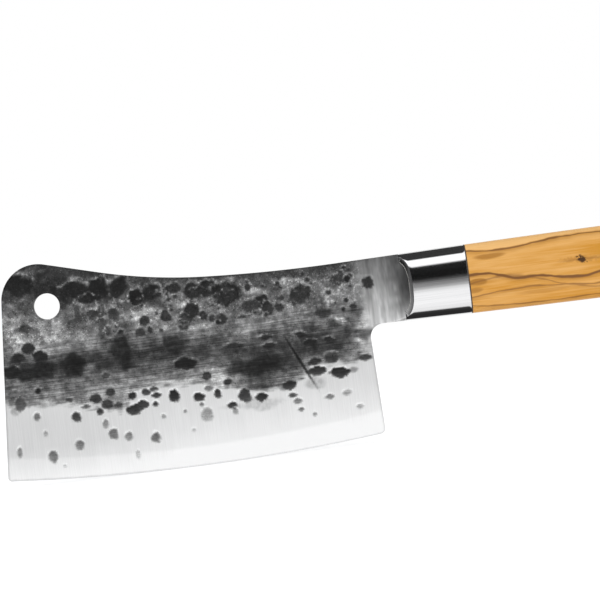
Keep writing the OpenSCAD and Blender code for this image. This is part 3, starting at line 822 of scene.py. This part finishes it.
def sleeve_rings(blade, handle):
    """The bolster sleeve as rings that close on themselves: out along the oval outside from the crescent
    to the spacer, across the rear face, and back along the inside. The crescent is where the hollow
    grind's cylinder meets each point of the oval, but never ahead of the sleeve's flat front."""
    at = Stations(blade, handle)
    n = handle.squareness
    wide, wall = handle.bolster_width / 2, handle.wall
    turn = np.linspace(0, 2 * math.pi, 361)[:-1]
    c, s = power(np.cos(turn), 2 / n), power(np.sin(turn), 2 / n)
    soft = 0.12

    def ring(x, inset):
        tall = at.neck_height(x) / 2 - inset
        return np.stack([np.broadcast_to(x, c.shape), (wide - inset) * c, tall * s + at.grip_z], -1)

    def front(inset):
        return np.maximum(at.bolster_x, at.grind_station((wide - inset) * c))

    outer, inner = front(0.0), front(wall)
    rows = [ring(outer + 0.02, soft * 0.6), ring(outer + soft * 0.5, soft * 0.15)]
    straight = at.spacer_x - soft - outer - soft
    rows += [ring(outer + soft + straight * t, 0.0) for t in np.linspace(0, 1, 22)]
    rows += [ring(at.spacer_x - soft * 0.4 + 0 * c, soft * 0.25), ring(at.spacer_x + 0 * c, soft)]
    rows += [ring(at.spacer_x + 0 * c, wall), ring(inner + 0.05, wall), ring(inner, wall - 0.05)]
    rows += [rows[0]]
    return np.stack(rows)


def oval_rings(x, wide, tall, bend, turn, middle):
    """Rings of points at the stations x: the oval |y/wide|^n + |z/tall|^n = 1 with its own exponent n."""
    x, wide, tall, bend = (np.asarray(v, float)[:, None] for v in (x, wide, tall, bend))
    y = wide * power(np.cos(turn), 2 / bend)
    z = tall * power(np.sin(turn), 2 / bend) + middle
    return np.stack([np.broadcast_to(x, y.shape), y, z], -1)


# The counterbore and the tang's slot by their depth from the butt, the rod's bore by its radius, and the
# slot by half its thickness and half its height at its end and at the front.
POCKET_DEPTH = 19.0
SLOT_DEPTH = 55.7
BORE = 3.5
SLOT_HALF = 2.9
SLOT_HEIGHTS = [6.0, 9.2]


def grip_rings(blade, handle):
    """The grip as rings that close on themselves: along the swelling outside, around the butt's quarter
    round to the counterbore's rim, down into it, and forward through the bore and the tang's slot to the
    front. The section's half width and height swell with a quarter sine along the grip. Around the butt
    each line of points is cut where it comes within the counterbore's radius, and spaced out again."""
    at = Stations(blade, handle)
    front, butt = handle.grip_front, handle.grip_butt
    n, r = handle.squareness, handle.butt_radius
    wide = np.array([handle.bolster_width, handle.grip_width]) / 2
    tall = np.array([handle.bolster_height, handle.grip_height]) / 2
    turn = np.linspace(0, 2 * math.pi, 193)[:-1]

    def size(x):
        t = np.sin(math.pi / 2 * np.clip((x - front) / handle.swell, 0, 1))
        return np.array([wide[0] + (wide[1] - wide[0]) * t, tall[0] + (tall[1] - tall[0]) * t])

    face = size(front) - 0.18
    x = np.concatenate([[front, front + 0.05], np.linspace(front + 0.2, butt - r, 64)])
    w, h = size(x) - np.concatenate([[0.18, 0.05], np.zeros(64)])
    outside = oval_rings(x, w, h, np.full_like(x, n), turn, at.grip_z)

    angle = np.radians(np.linspace(0, 90, 91))
    x = butt - r + r * np.sin(angle)
    w, h = size(x) - r * (1 - np.cos(angle))
    x = np.concatenate([x, np.full(60, butt)])
    inward = np.linspace(1, 0.3, 61)[1:]
    w, h = np.concatenate([w, w[-1] * inward]), np.concatenate([h, h[-1] * inward])
    dome = oval_rings(x, w, h, np.full_like(x, n), turn, at.grip_z)
    hole = handle.pocket / 2
    reach = np.hypot(dome[..., 1], dome[..., 2] - at.grip_z)
    column = np.arange(len(turn))
    past = (reach < hole + 0.15).argmax(0)
    before, after = reach[past - 1, column], reach[past, column]
    end = past - 1 + (before - hole - 0.15) / (before - after)
    place = np.linspace(0, 1, 25)[1:, None] * end
    low = np.minimum(place.astype(int), len(dome) - 2)
    share = (place - low)[..., None]
    rounding = dome[low, column] * (1 - share) + dome[low + 1, column] * share

    away = rounding[-1, :, 1:] - [0.0, at.grip_z]
    away /= np.linalg.norm(away, axis=1)[:, None]

    def bore(x, radius):
        ring = np.array([0.0, at.grip_z]) + radius * away
        return np.column_stack([np.broadcast_to(x, len(turn)), ring])

    floor, slot_end = butt - POCKET_DEPTH, butt - SLOT_DEPTH
    inside = [bore(rounding[-1, :, 0] - 0.12, hole), bore(floor + 0.1, hole)]
    inside += [bore(floor, BORE), bore(slot_end + 0.1, BORE)]
    x = [slot_end, front + 0.001, front]
    w, h = [SLOT_HALF, SLOT_HALF, face[0]], [*SLOT_HEIGHTS, face[1]]
    ends = oval_rings(x, w, h, [4, 4, n], turn, at.grip_z)
    return np.concatenate([outside, rounding, np.stack(inside), ends])


# Finishes --------------------------------------------------------------------------------------------


def new_finish(name):
    """An empty material with its shader, and the object's own coordinates in metres."""
    finish = bpy.data.materials.new(name)
    finish.use_nodes = True
    tree = finish.node_tree
    shader = tree.nodes["Principled BSDF"]
    where = tree.nodes.new("ShaderNodeTexCoord").outputs["Object"]
    return finish, tree, shader, where


def node(tree, kind, inputs, **settings):
    """Adds a node, sets it up, and fills its inputs with numbers or with other nodes' outputs."""
    made = tree.nodes.new(kind)
    for key, value in settings.items():
        setattr(made, key, value)
    for key, value in inputs.items():
        if isinstance(value, bpy.types.NodeSocket):
            tree.links.new(value, made.inputs[key])
        else:
            made.inputs[key].default_value = value
    return made


def reckon(tree, operation, *values, clamp=False):
    """One step of arithmetic on numbers or outputs."""
    made = node(tree, "ShaderNodeMath", dict(enumerate(values)), operation=operation, use_clamp=clamp)
    return made.outputs[0]


def times(tree, first, second, clamp=False):
    """first * second"""
    return reckon(tree, "MULTIPLY", first, second, clamp=clamp)


def plus(tree, first, second):
    """first + second"""
    return reckon(tree, "ADD", first, second)


def minus(tree, first, second):
    """first - second"""
    return reckon(tree, "SUBTRACT", first, second)


def times_plus(tree, first, second, third, clamp=False):
    """first * second + third"""
    return reckon(tree, "MULTIPLY_ADD", first, second, third, clamp=clamp)


def span(tree, value, low, high, start=0.0, end=1.0):
    """Maps a value from low to high smoothly onto start to end."""
    inputs = {"Value": value, "From Min": low, "From Max": high, "To Min": start, "To Max": end}
    return node(tree, "ShaderNodeMapRange", inputs, interpolation_type="SMOOTHSTEP").outputs["Result"]


def grain(tree, where, stretch, turn=(0.0, 0.0, 0.0), detail=3.0, roughness=0.55):
    """Noise whose cells are 1/stretch metres long in each direction, after the pattern is turned."""
    turned = node(tree, "ShaderNodeMapping", {"Vector": where, "Rotation": turn, "Scale": stretch})
    inputs = {"Vector": turned.outputs[0], "Scale": 1.0, "Detail": detail, "Roughness": roughness}
    return node(tree, "ShaderNodeTexNoise", inputs).outputs["Fac"]


def blend(tree, share, first, second):
    """Mixes two colours by a share."""
    made = node(tree, "ShaderNodeMix", {}, data_type="RGBA")
    slots = {slot.identifier: slot for slot in made.inputs}
    for key, value in (("Factor_Float", share), ("A_Color", first), ("B_Color", second)):
        if isinstance(value, bpy.types.NodeSocket):
            tree.links.new(value, slots[key])
        else:
            slots[key].default_value = value if value is share else (*value[:3], 1.0)
    return [slot for slot in made.outputs if slot.identifier == "Result_Color"][0]


def surface(tree, shader, colour, roughness, height, strength, distance=0.0001):
    """Links a colour, a roughness and a bump to the shader."""
    bump = node(tree, "ShaderNodeBump", {"Height": height, "Strength": strength, "Distance": distance})
    for key, value in (("Base Color", colour), ("Roughness", roughness), ("Normal", bump.outputs[0])):
        tree.links.new(value, shader.inputs[key])


def attribute(tree, name):
    """A value that the piece carries at each point."""
    return node(tree, "ShaderNodeAttribute", {}, attribute_name=name).outputs["Fac"]


def tinted(tree, value, colour):
    """A colour times a value."""
    return node(tree, "ShaderNodeVectorMath", {0: value, 1: colour}, operation="MULTIPLY").outputs[0]


def forged_finish(colours):
    """Forged steel: dark mottled scale with level grinding streaks, and bright upright brushing below.
    The shade comes from the piece's own scale_tone_and_painted_light. Fine grain breaks it up, pitted
    where scale_grain is high and brushed where it is low, with painted glints in the upper scale."""
    finish, tree, shader, where = new_finish("forged steel")
    # The blade's tone, with its painted highlights and painted shade.
    shade = attribute(tree, "scale_tone_and_painted_light")
    coarse = attribute(tree, "scale_grain")
    smooth = minus(tree, 1.0, coarse)
    speckle = grain(tree, where, (1500.0, 1500.0, 1500.0), detail=4.0, roughness=0.7)
    mottle = grain(tree, where, (420.0, 420.0, 420.0), detail=4.0, roughness=0.65)
    streaks = grain(tree, where, (70.0, 200.0, 2600.0), detail=3.0)
    brushing = grain(tree, where, (3200.0, 200.0, 55.0), (0.0, math.radians(6.5), 0.0), detail=3.0)
    upper = span(tree, node(tree, "ShaderNodeSeparateXYZ", {"Vector": where}).outputs["Z"], -0.022, -0.012)
    blotch = span(tree, mottle, 0.36, 0.64, 0.88, 1.12)
    pits = span(tree, speckle, 0.57, 0.66, 1.0, 0.55)
    # Painted glints: sparse bright specks in the upper scale.
    painted_glints = times(tree, span(tree, speckle, 0.42, 0.33, 0.0, 0.75), upper)
    lines = span(tree, streaks, 0.32, 0.68, 0.84, 1.18)
    lines = plus(tree, times(tree, lines, minus(tree, 1.0, upper)), upper)
    scale = times(tree, times(tree, blotch, pits), lines)
    scale = times(tree, plus(tree, scale, painted_glints), coarse)
    brushed = times_plus(tree, minus(tree, brushing, 0.5), 0.12, 1.06)
    gain = times_plus(tree, brushed, smooth, scale)
    value = times(tree, shade, reckon(tree, "MAXIMUM", gain, 0.2))
    value = reckon(tree, "POWER", reckon(tree, "MINIMUM", value, 1.0), 2.2)
    roughness = span(tree, shade, 0.15, 0.85, 0.52, 0.30)
    shader.inputs["Metallic"].default_value = 0.5
    height = plus(tree, times(tree, speckle, coarse), times(tree, brushing, 0.12))
    surface(tree, shader, tinted(tree, value, colours.steel), roughness, height, 0.30)
    return finish


def sleeve_finish(colours):
    """Polished steel brushed faintly along the sleeve, with a painted shade on its ground front face."""
    finish, tree, shader, where = new_finish("bolster steel")
    brushing = grain(tree, where, (25.0, 1800.0, 1800.0), detail=3.0)
    tone = span(tree, brushing, 0.25, 0.75, 0.92, 1.0)
    ground = attribute(tree, "ground_face")
    # Painted shade: the ground front face is darkened to 0.45.
    tone = times(tree, tone, span(tree, ground, 0.0, 1.0, 1.0, 0.45))
    roughness = span(tree, brushing, 0.2, 0.8, 0.06, 0.11)
    shader.inputs["Metallic"].default_value = 1.0
    surface(tree, shader, tinted(tree, tone, colours.sleeve), roughness, brushing, 0.06, 0.00005)
    return finish


# Veins through the grip: for each, how far it climbs through the thickness, its half width, its strength,
# and its course, x and z in millimetres along the near face.
VEINS = [
    (0.10, 0.5, 0.85,
     [(190, 0.4), (204, -0.8), (216, -1), (227, 0.4), (238, 1.3), (257, 1.2), (275, -1), (300, -3)]),
    (-0.22, 0.8, 1.0,
     [(190, -11), (201, -11), (208, -12.4), (215, -14.7), (225, -15.1), (239, -17.4), (247, -17.4),
      (255, -16.6), (275, -12), (300, -9)]),
    (0.15, 0.6, 0.45,
     [(190, -16), (195, -14.8), (203, -13.6), (209, -13), (225, -16), (240, -21), (260, -24), (300, -25)]),
    (-0.12, 0.5, 0.6,
     [(190, -21.4), (195, -20.9), (203, -20.2), (220, -19.3), (232, -20), (250, -21.6), (270, -20),
      (300, -18)]),
    (0.05, 0.45, 0.6,
     [(190, -24.5), (204, -26.4), (220, -26.9), (234, -27.2), (254, -26.7), (275, -26), (300, -25)]),
    (-0.35, 0.5, 0.6, [(190, 9), (212, 8), (238, 9.5), (262, 8), (300, 9)]),
]
# The stretch along and up the grip that holds every course, in millimetres.
VEIN_START, VEIN_LENGTH = 190.0, 110.0
VEIN_FLOOR, VEIN_RISE = -35.0, 50.0
# Brown stains in the near face: middle in x and z, half length and height in millimetres, and strength.
STAINS = [
    (204.5, -3.2, 8, 1.5, 0.75), (197.5, -14.5, 5, 1.8, 1.00), (196, -18.0, 4, 1.4, 0.80),
    (218, -19.4, 7, 1.2, 0.45), (212, -13.5, 7, 1.5, 0.40), (228, -22, 14, 1.2, 0.35),
]
# A small knot: its middle in x and z, half length and height in millimetres.
KNOT = (246, -10, 2.1, 1.5)


def vein_course(tree, x, course):
    """Height of a vein at each station, as a smooth curve through its points."""
    made = tree.nodes.new("ShaderNodeFloatCurve")
    curve = made.mapping.curves[0]
    while len(curve.points) < len(course):
        curve.points.new(0.5, 0.5)
    for point, (px, pz) in zip(curve.points, course):
        point.location = ((px - VEIN_START) / VEIN_LENGTH, (pz - VEIN_FLOOR) / VEIN_RISE)
    made.mapping.update()
    tree.links.new(x, made.inputs["Value"])
    return times_plus(tree, made.outputs[0], VEIN_RISE / 1000, VEIN_FLOOR / 1000)


def off_middle(tree, x, z, place):
    """How far x and z are from the middle of a place, as shares of its half length and half height."""
    middle_x, middle_z, half_x, half_z = place
    along = times_plus(tree, x, 1000 / half_x, -middle_x / half_x)
    return along, times_plus(tree, z, 1000 / half_z, -middle_z / half_z)


def olive_finish(colours):
    """Oiled olive wood: golden ground with long fine grain, paler above the top vein as painted light on
    the grip's top, and dark veins that run through the grip as wavy sheets, each with a soft brown shade
    on one side. The near face also has brown stains and a small knot with wisps of dark grain beside it."""
    finish, tree, shader, where = new_finish("olive wood")
    split = node(tree, "ShaderNodeSeparateXYZ", {"Vector": where})
    x, y, z = split.outputs
    along = times_plus(tree, x, 1000 / VEIN_LENGTH, -VEIN_START / VEIN_LENGTH)
    fibre = grain(tree, where, (30.0, 1300.0, 1300.0), detail=4.0)
    flow = grain(tree, where, (22.0, 130.0, 130.0), detail=3.0)
    ripple = grain(tree, where, (90.0, 90.0, 90.0), detail=2.0)
    ground = times_plus(tree, minus(tree, flow, 0.5), 1.3, 0.20)
    ground = times_plus(tree, minus(tree, fibre, 0.5), 0.9, ground, clamp=True)
    colour = blend(tree, ground, colours.gold_wood, colours.pale_wood)
    depth = plus(tree, y, 0.011)
    height = times_plus(tree, minus(tree, ripple, 0.5), 0.0016, z)
    near_face = span(tree, y, -0.004, 0.004, 1.0, 0.0)
    pulse = span(tree, grain(tree, where, (75.0, 260.0, 260.0), detail=2.0), 0.35, 0.65, 0.70, 1.40)
    vein_dark, vein_soft = 0.0, 0.0
    for k, (climb, width, strength, course) in enumerate(VEINS):
        middle = times_plus(tree, depth, climb, vein_course(tree, along, course))
        off = minus(tree, height, middle)
        # Painted light: the wood above the top vein is paler, as light on the grip's top.
        if k == 0:
            colour = blend(tree, span(tree, off, 0.0, 0.0010, 0.0, 0.65), colour, colours.pale_wood)
        gap = reckon(tree, "DIVIDE", reckon(tree, "ABSOLUTE", off), pulse)
        line = span(tree, gap, width / 1000 * 0.25, width / 1000, strength, 0.0)
        under = span(tree, off, -0.0028, -0.0002, 0.0, 0.6 * strength)
        soft = times(tree, under, span(tree, off, 0.0, 0.0009, 1.0, 0.0))
        vein_dark = reckon(tree, "MAXIMUM", vein_dark, line)
        vein_soft = reckon(tree, "MAXIMUM", vein_soft, times(tree, soft, pulse))
    for *place, strength in STAINS:
        kx, kz = off_middle(tree, x, height, place)
        away = plus(tree, times(tree, kx, kx), times(tree, kz, kz))
        stain = times(tree, span(tree, away, 0.25, 1.3, strength, 0.0), near_face)
        stain = times(tree, stain, span(tree, flow, 0.3, 0.6, 0.6, 1.2))
        vein_soft = reckon(tree, "MAXIMUM", vein_soft, stain)
    brown = tuple(0.50 * g + 0.50 * v for g, v in zip(colours.gold_wood, colours.vein_wood))
    colour = blend(tree, vein_soft, colour, brown)
    colour = blend(tree, vein_dark, colour, colours.vein_wood)
    ragged = minus(tree, grain(tree, where, (700.0, 700.0, 700.0), detail=3.0), 0.5)
    kx, kz = off_middle(tree, x, height, KNOT)
    kx = times_plus(tree, ragged, 3.0, kx)
    kz = times_plus(tree, ragged, -2.2, kz)
    level, upright = times(tree, kx, kx), times(tree, kz, kz)
    knot = plus(tree, level, upright)
    wisp = times_plus(tree, level, 0.035, upright)
    wisps = times(tree, span(tree, wisp, 0.05, 1.3, 0.75, 0.0), span(tree, fibre, 0.35, 0.6, 0.4, 1.2))
    colour = blend(tree, times(tree, wisps, near_face, clamp=True), colour, brown)
    core = times(tree, span(tree, knot, 0.3, 1.3, 1.0, 0.0), near_face)
    colour = blend(tree, core, colour, tuple(0.35 * v for v in colours.vein_wood))
    shader.inputs["Specular IOR Level"].default_value = 0.35
    surface(tree, shader, colour, span(tree, fibre, 0.3, 0.7, 0.36, 0.50), fibre, 0.12)
    return finish


def plain_finish(name, colour, roughness, metallic, spread, size):
    """A mottled finish for a small or hidden piece: its colour drifts by the spread over that size."""
    finish, tree, shader, where = new_finish(name)
    mottle = grain(tree, where, (1 / size,) * 3, detail=3.0)
    dark = tuple(channel * (1 - spread) for channel in colour)
    light = tuple(min(1.0, channel * (1 + spread)) for channel in colour)
    uneven = span(tree, mottle, 0.2, 0.8, roughness * 0.8, roughness * 1.2)
    shader.inputs["Metallic"].default_value = metallic
    surface(tree, shader, blend(tree, mottle, dark, light), uneven, mottle, 0.15)
    return finish


def plug_finish(colours):
    """End grain of olive wood: rings around a point beside the plug, with fine pores."""
    finish, tree, shader, where = new_finish("olive end grain")
    split = node(tree, "ShaderNodeSeparateXYZ", {"Vector": where})
    ripple = grain(tree, where, (160.0, 160.0, 160.0), detail=3.0)
    up = minus(tree, split.outputs[2], -0.022)
    across = minus(tree, split.outputs[1], -0.004)
    reach = reckon(tree, "SQRT", plus(tree, times(tree, up, up), times(tree, across, across)))
    reach = times_plus(tree, ripple, 0.002, reach)
    ring = reckon(tree, "SINE", times(tree, reach, 2 * math.pi / 0.0016))
    ring = span(tree, ring, -1.0, 1.0)
    pores = grain(tree, where, (2600.0, 2600.0, 2600.0), detail=2.0)
    dark = tuple(0.6 * g + 0.3 * v for g, v in zip(colours.gold_wood, colours.vein_wood))
    colour = blend(tree, ring, dark, colours.gold_wood)
    colour = blend(tree, span(tree, pores, 0.58, 0.75, 0.0, 0.6), colour, colours.vein_wood)
    surface(tree, shader, colour, span(tree, pores, 0.3, 0.7, 0.42, 0.58), pores, 0.15)
    return finish


def dress(node_name, finish):
    """Gives a CAD node a finish through its object's material slots."""
    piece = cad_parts[node_name]
    if not piece.material_slots:
        piece.data.materials.append(finish)
    for slot in piece.material_slots:
        slot.link = "OBJECT"
        slot.material = finish


# Operators -------------------------------------------------------------------------------------------


class CLEAVER_OT_blade(Operator):
    """Build the hammered blade plate with its hanging hole, and the flared neck behind it"""

    bl_idname = "cleaver.blade"
    bl_label = "Blade and neck"

    def execute(self, context):
        scene = context.scene
        finish = forged_finish(scene.cleaver_finish)
        blade, handle = in_millimetres(scene.cleaver_blade), in_millimetres(scene.cleaver_handle)
        deepest = in_millimetres(scene.cleaver_finish).dent_depth
        points, faces, shade, coarse = plate_faces(blade, handle, deepest)
        steel = {"scale_tone_and_painted_light": shade, "scale_grain": coarse}
        plate = write_piece("blade_plate", points, faces, finish, creases=50, **steel)
        rings, poles = neck_rings(blade, handle)
        count, around = rings.shape[:2]
        faces = tube_faces(count, around, count * around, count * around + 1)
        points = np.concatenate([rings.reshape(-1, 3), poles])
        near, far = (scale_tone_and_painted_light(points[:, 0], points[:, 2], side) for side in (-1, 1))
        shade, coarse = (np.where(points[:, 1] < 0, here, there) for here, there in zip(near, far))
        steel = {"scale_tone_and_painted_light": shade, "scale_grain": coarse}
        neck = write_piece("blade_neck", points, faces, finish, creases=40, **steel)
        for piece in (plate, neck):
            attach(piece, "root")
            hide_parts("blade")
        return {"FINISHED"}


class CLEAVER_OT_sleeve(Operator):
    """Build the bolster sleeve with its crescent front edge"""

    bl_idname = "cleaver.sleeve"
    bl_label = "Bolster sleeve"

    def execute(self, context):
        scene = context.scene
        rings = sleeve_rings(in_millimetres(scene.cleaver_blade), in_millimetres(scene.cleaver_handle))
        ground = np.zeros(rings.shape[:2])
        # The ground front face, the crescent, is marked for a painted shade.
        ground[[0, -2, -3]] = 1.0
        finish = sleeve_finish(scene.cleaver_finish)
        ground = ground[:-1].ravel()
        sleeve = write_piece("sleeve_shell", *closed_rings(rings), finish, creases=35, ground_face=ground)
        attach(sleeve, "root")
        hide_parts("bolster_sleeve")
        return {"FINISHED"}


class CLEAVER_OT_grip(Operator):
    """Build the olive wood grip with its rounded butt and counterbore"""

    bl_idname = "cleaver.grip"
    bl_label = "Olive wood grip"

    def execute(self, context):
        scene = context.scene
        rings = grip_rings(in_millimetres(scene.cleaver_blade), in_millimetres(scene.cleaver_handle))
        finish = olive_finish(scene.cleaver_finish)
        grip = write_piece("grip_wood", *closed_rings(rings), finish, creases=35)
        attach(grip, "root")
        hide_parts("handle_grip")
        return {"FINISHED"}


class CLEAVER_OT_fittings(Operator):
    """Give the solder, spacer, plug and hidden fittings their finishes"""

    bl_idname = "cleaver.fittings"
    bl_label = "Fittings"

    def execute(self, context):
        colours = context.scene.cleaver_finish
        solder = plain_finish("silver solder", (0.80, 0.79, 0.76), 0.30, 1.0, 0.10, 0.0008)
        fibre = plain_finish("vulcanised fibre", tuple(colours.fibre), 0.60, 0.0, 0.35, 0.0006)
        epoxy = plain_finish("cast epoxy", tuple(colours.epoxy), 0.25, 0.0, 0.15, 0.002)
        steel = plain_finish("fastener steel", (0.55, 0.55, 0.56), 0.35, 1.0, 0.12, 0.001)
        dress("seam_solder", solder)
        dress("joint_spacer", fibre)
        dress("bolster_filler", epoxy)
        dress("tang_epoxy", epoxy)
        dress("butt_plug", plug_finish(colours))
        for name in ("tang_rod", "rod_weld", "butt_washer", "butt_nut"):
            dress(name, steel)
        return {"FINISHED"}


def studio_sky(tree):
    """World light: plain white to the eye and for soft light. Polished steel mirrors a studio instead: a
    pale floor below the horizon, a dark wall above it, a long lamp higher up, a dark ceiling, and a pale
    wall beyond the butt. The far side has a wall with one lit strip instead. Each level band is a stop on
    a ramp, as the angle above the horizon and its light."""
    where = tree.nodes.new("ShaderNodeTexCoord").outputs["Generated"]
    split = node(tree, "ShaderNodeSeparateXYZ", {"Vector": where})
    level = times_plus(tree, split.outputs["Z"], 0.5, 0.5)

    def bands(stops):
        ramp = tree.nodes.new("ShaderNodeValToRGB")
        ramp.color_ramp.interpolation = "EASE"
        stones = ramp.color_ramp.elements
        while len(stones) < len(stops):
            stones.new(0.5)
        for stone, (angle, light) in zip(stones, stops):
            stone.position = 0.5 + 0.5 * math.sin(math.radians(angle))
            stone.color = (light, light, light, 1.0)
        tree.links.new(level, ramp.inputs[0])
        return ramp.outputs[0]

    floor = [(-76, 0.03), (-66, 0.74), (-30, 0.82), (-7, 0.80), (-3.2, 0.66), (-1.2, 0.32), (1.5, 0.03)]
    near = bands(floor + [(4, 0.006), (27, 0.010), (35, 1.0), (61, 1.0), (69, 0.03)])
    far_floor = [(-42, 0.02), (-26, 0.76), (-3, 0.78), (1, 0.10)]
    far = bands(far_floor + [(5, 0.02), (9, 0.7), (22, 0.7), (30, 0.03), (80, 0.03)])
    mirrored = blend(tree, span(tree, split.outputs["Y"], -0.15, 0.15), near, far)
    mirrored = blend(tree, span(tree, split.outputs["X"], 0.55, 0.85), mirrored, (0.85, 0.85, 0.85))
    path = tree.nodes.new("ShaderNodeLightPath")
    plain = blend(tree, path.outputs["Is Camera Ray"], (0.95, 0.96, 0.97), (1.0, 1.0, 1.0))
    light = blend(tree, path.outputs["Is Glossy Ray"], plain, mirrored)
    sky = node(tree, "ShaderNodeBackground", {"Color": light})
    glossy = times_plus(tree, path.outputs["Is Glossy Ray"], 0.2, 1.0)
    tree.links.new(glossy, sky.inputs["Strength"])
    tree.links.new(sky.outputs[0], tree.nodes["World Output"].inputs["Surface"])


# The floor reaches this far each way and lies this far below the edge. The key light has a width and a
# height, and hangs at a place with a tilt. These are in metres, and the sensor's width in millimetres.
FLOOR_REACH, FLOOR_GAP = 4.0, 0.0002
KEY_SIZE = (1.6, 0.9)
KEY_PLACE = (0.0, -1.0, 1.3)
KEY_TILT = math.radians(38)
SENSOR_MM = 36.0


class CLEAVER_OT_stage(Operator):
    """Set up the pale floor, the soft studio light and the camera"""

    bl_idname = "cleaver.stage"
    bl_label = "Floor, light and camera"

    def execute(self, context):
        scene = context.scene
        stage = scene.cleaver_stage
        scene.view_settings.view_transform = "Standard"

        world = bpy.data.worlds.new("studio")
        world.use_nodes = True
        for old in [n for n in world.node_tree.nodes if n.type != "OUTPUT_WORLD"]:
            world.node_tree.nodes.remove(old)
        studio_sky(world.node_tree)
        scene.world = world

        level = CAD_BOX[0][2] - FLOOR_GAP
        sides = np.array([[-1, -1], [1, -1], [1, 1], [-1, 1]]) * FLOOR_REACH
        points = np.column_stack([sides, np.full(4, level)]) * 1000.0
        finish, _, shader, _ = new_finish("pale floor")
        shader.inputs["Base Color"].default_value = (*stage.floor, 1.0)
        shader.inputs["Roughness"].default_value = 1.0
        shader.inputs["Specular IOR Level"].default_value = 0.0
        shader.inputs["Emission Color"].default_value = (1.0, 1.0, 1.0, 1.0)
        shader.inputs["Emission Strength"].default_value = 0.32
        floor = write_piece("floor", points, [[0, 1, 2, 3]], finish)
        floor.visible_glossy = False

        key = bpy.data.lights.new("key", "AREA")
        key.shape = "RECTANGLE"
        key.size, key.size_y = KEY_SIZE
        key.energy = stage.key
        lamp = bpy.data.objects.new("key", key)
        lamp.matrix_world = Matrix.Translation(KEY_PLACE) @ Matrix.Rotation(KEY_TILT, 4, "X")
        lamp.visible_glossy = False
        scene.collection.objects.link(lamp)

        turn = stage.roll
        right = (math.cos(turn), 0.0, -math.sin(turn))
        up = (math.sin(turn), 0.0, math.cos(turn))
        lens = bpy.data.cameras.new("camera")
        lens.sensor_width = SENSOR_MM
        lens.lens = SENSOR_MM * stage.distance / stage.view_width
        lens.clip_start, lens.clip_end = 0.05, 50.0
        camera = bpy.data.objects.new("camera", lens)
        camera.rotation_euler = Matrix((right, up, (0.0, -1.0, 0.0))).transposed().to_euler()
        camera.location = (stage.aim[0], stage.aim[1] - stage.distance, stage.aim[2])
        scene.collection.objects.link(camera)
        scene.camera = camera
        return {"FINISHED"}


class CLEAVER_PT_panel(Panel):
    """Lists the cleaver's pieces, sizes and finishes"""

    bl_label = "Meat cleaver"
    bl_idname = "CLEAVER_PT_panel"
    bl_space_type = "VIEW_3D"
    bl_region_type = "UI"
    bl_category = "Cleaver"

    def draw(self, context):
        scene = context.scene
        for name in STEPS:
            self.layout.operator(f"cleaver.{name}")
        for name in SETTINGS:
            group = getattr(scene, name)
            column = self.layout.box().column()
            for key in group.__annotations__:
                column.prop(group, key)


STEPS = ("blade", "sleeve", "grip", "fittings", "stage")
SETTINGS = {
    "cleaver_blade": BladeSizes,
    "cleaver_handle": HandleSizes,
    "cleaver_finish": FinishColours,
    "cleaver_stage": StageSettings,
}
CLASSES = (
    *SETTINGS.values(),
    CLEAVER_OT_blade,
    CLEAVER_OT_sleeve,
    CLEAVER_OT_grip,
    CLEAVER_OT_fittings,
    CLEAVER_OT_stage,
    CLEAVER_PT_panel,
)


def register():
    """Registers the classes and hangs the settings on the scene."""
    for item in CLASSES:
        bpy.utils.register_class(item)
    for name, group in SETTINGS.items():
        setattr(bpy.types.Scene, name, PointerProperty(type=group))


def unregister():
    """Takes the settings off the scene and unregisters the classes."""
    for name in SETTINGS:
        delattr(bpy.types.Scene, name)
    for item in reversed(CLASSES):
        bpy.utils.unregister_class(item)


def main():
    """Builds every piece and the stage."""
    register()
    for name in STEPS:
        getattr(bpy.ops.cleaver, name)()


if __name__ == "__main__":
    main()
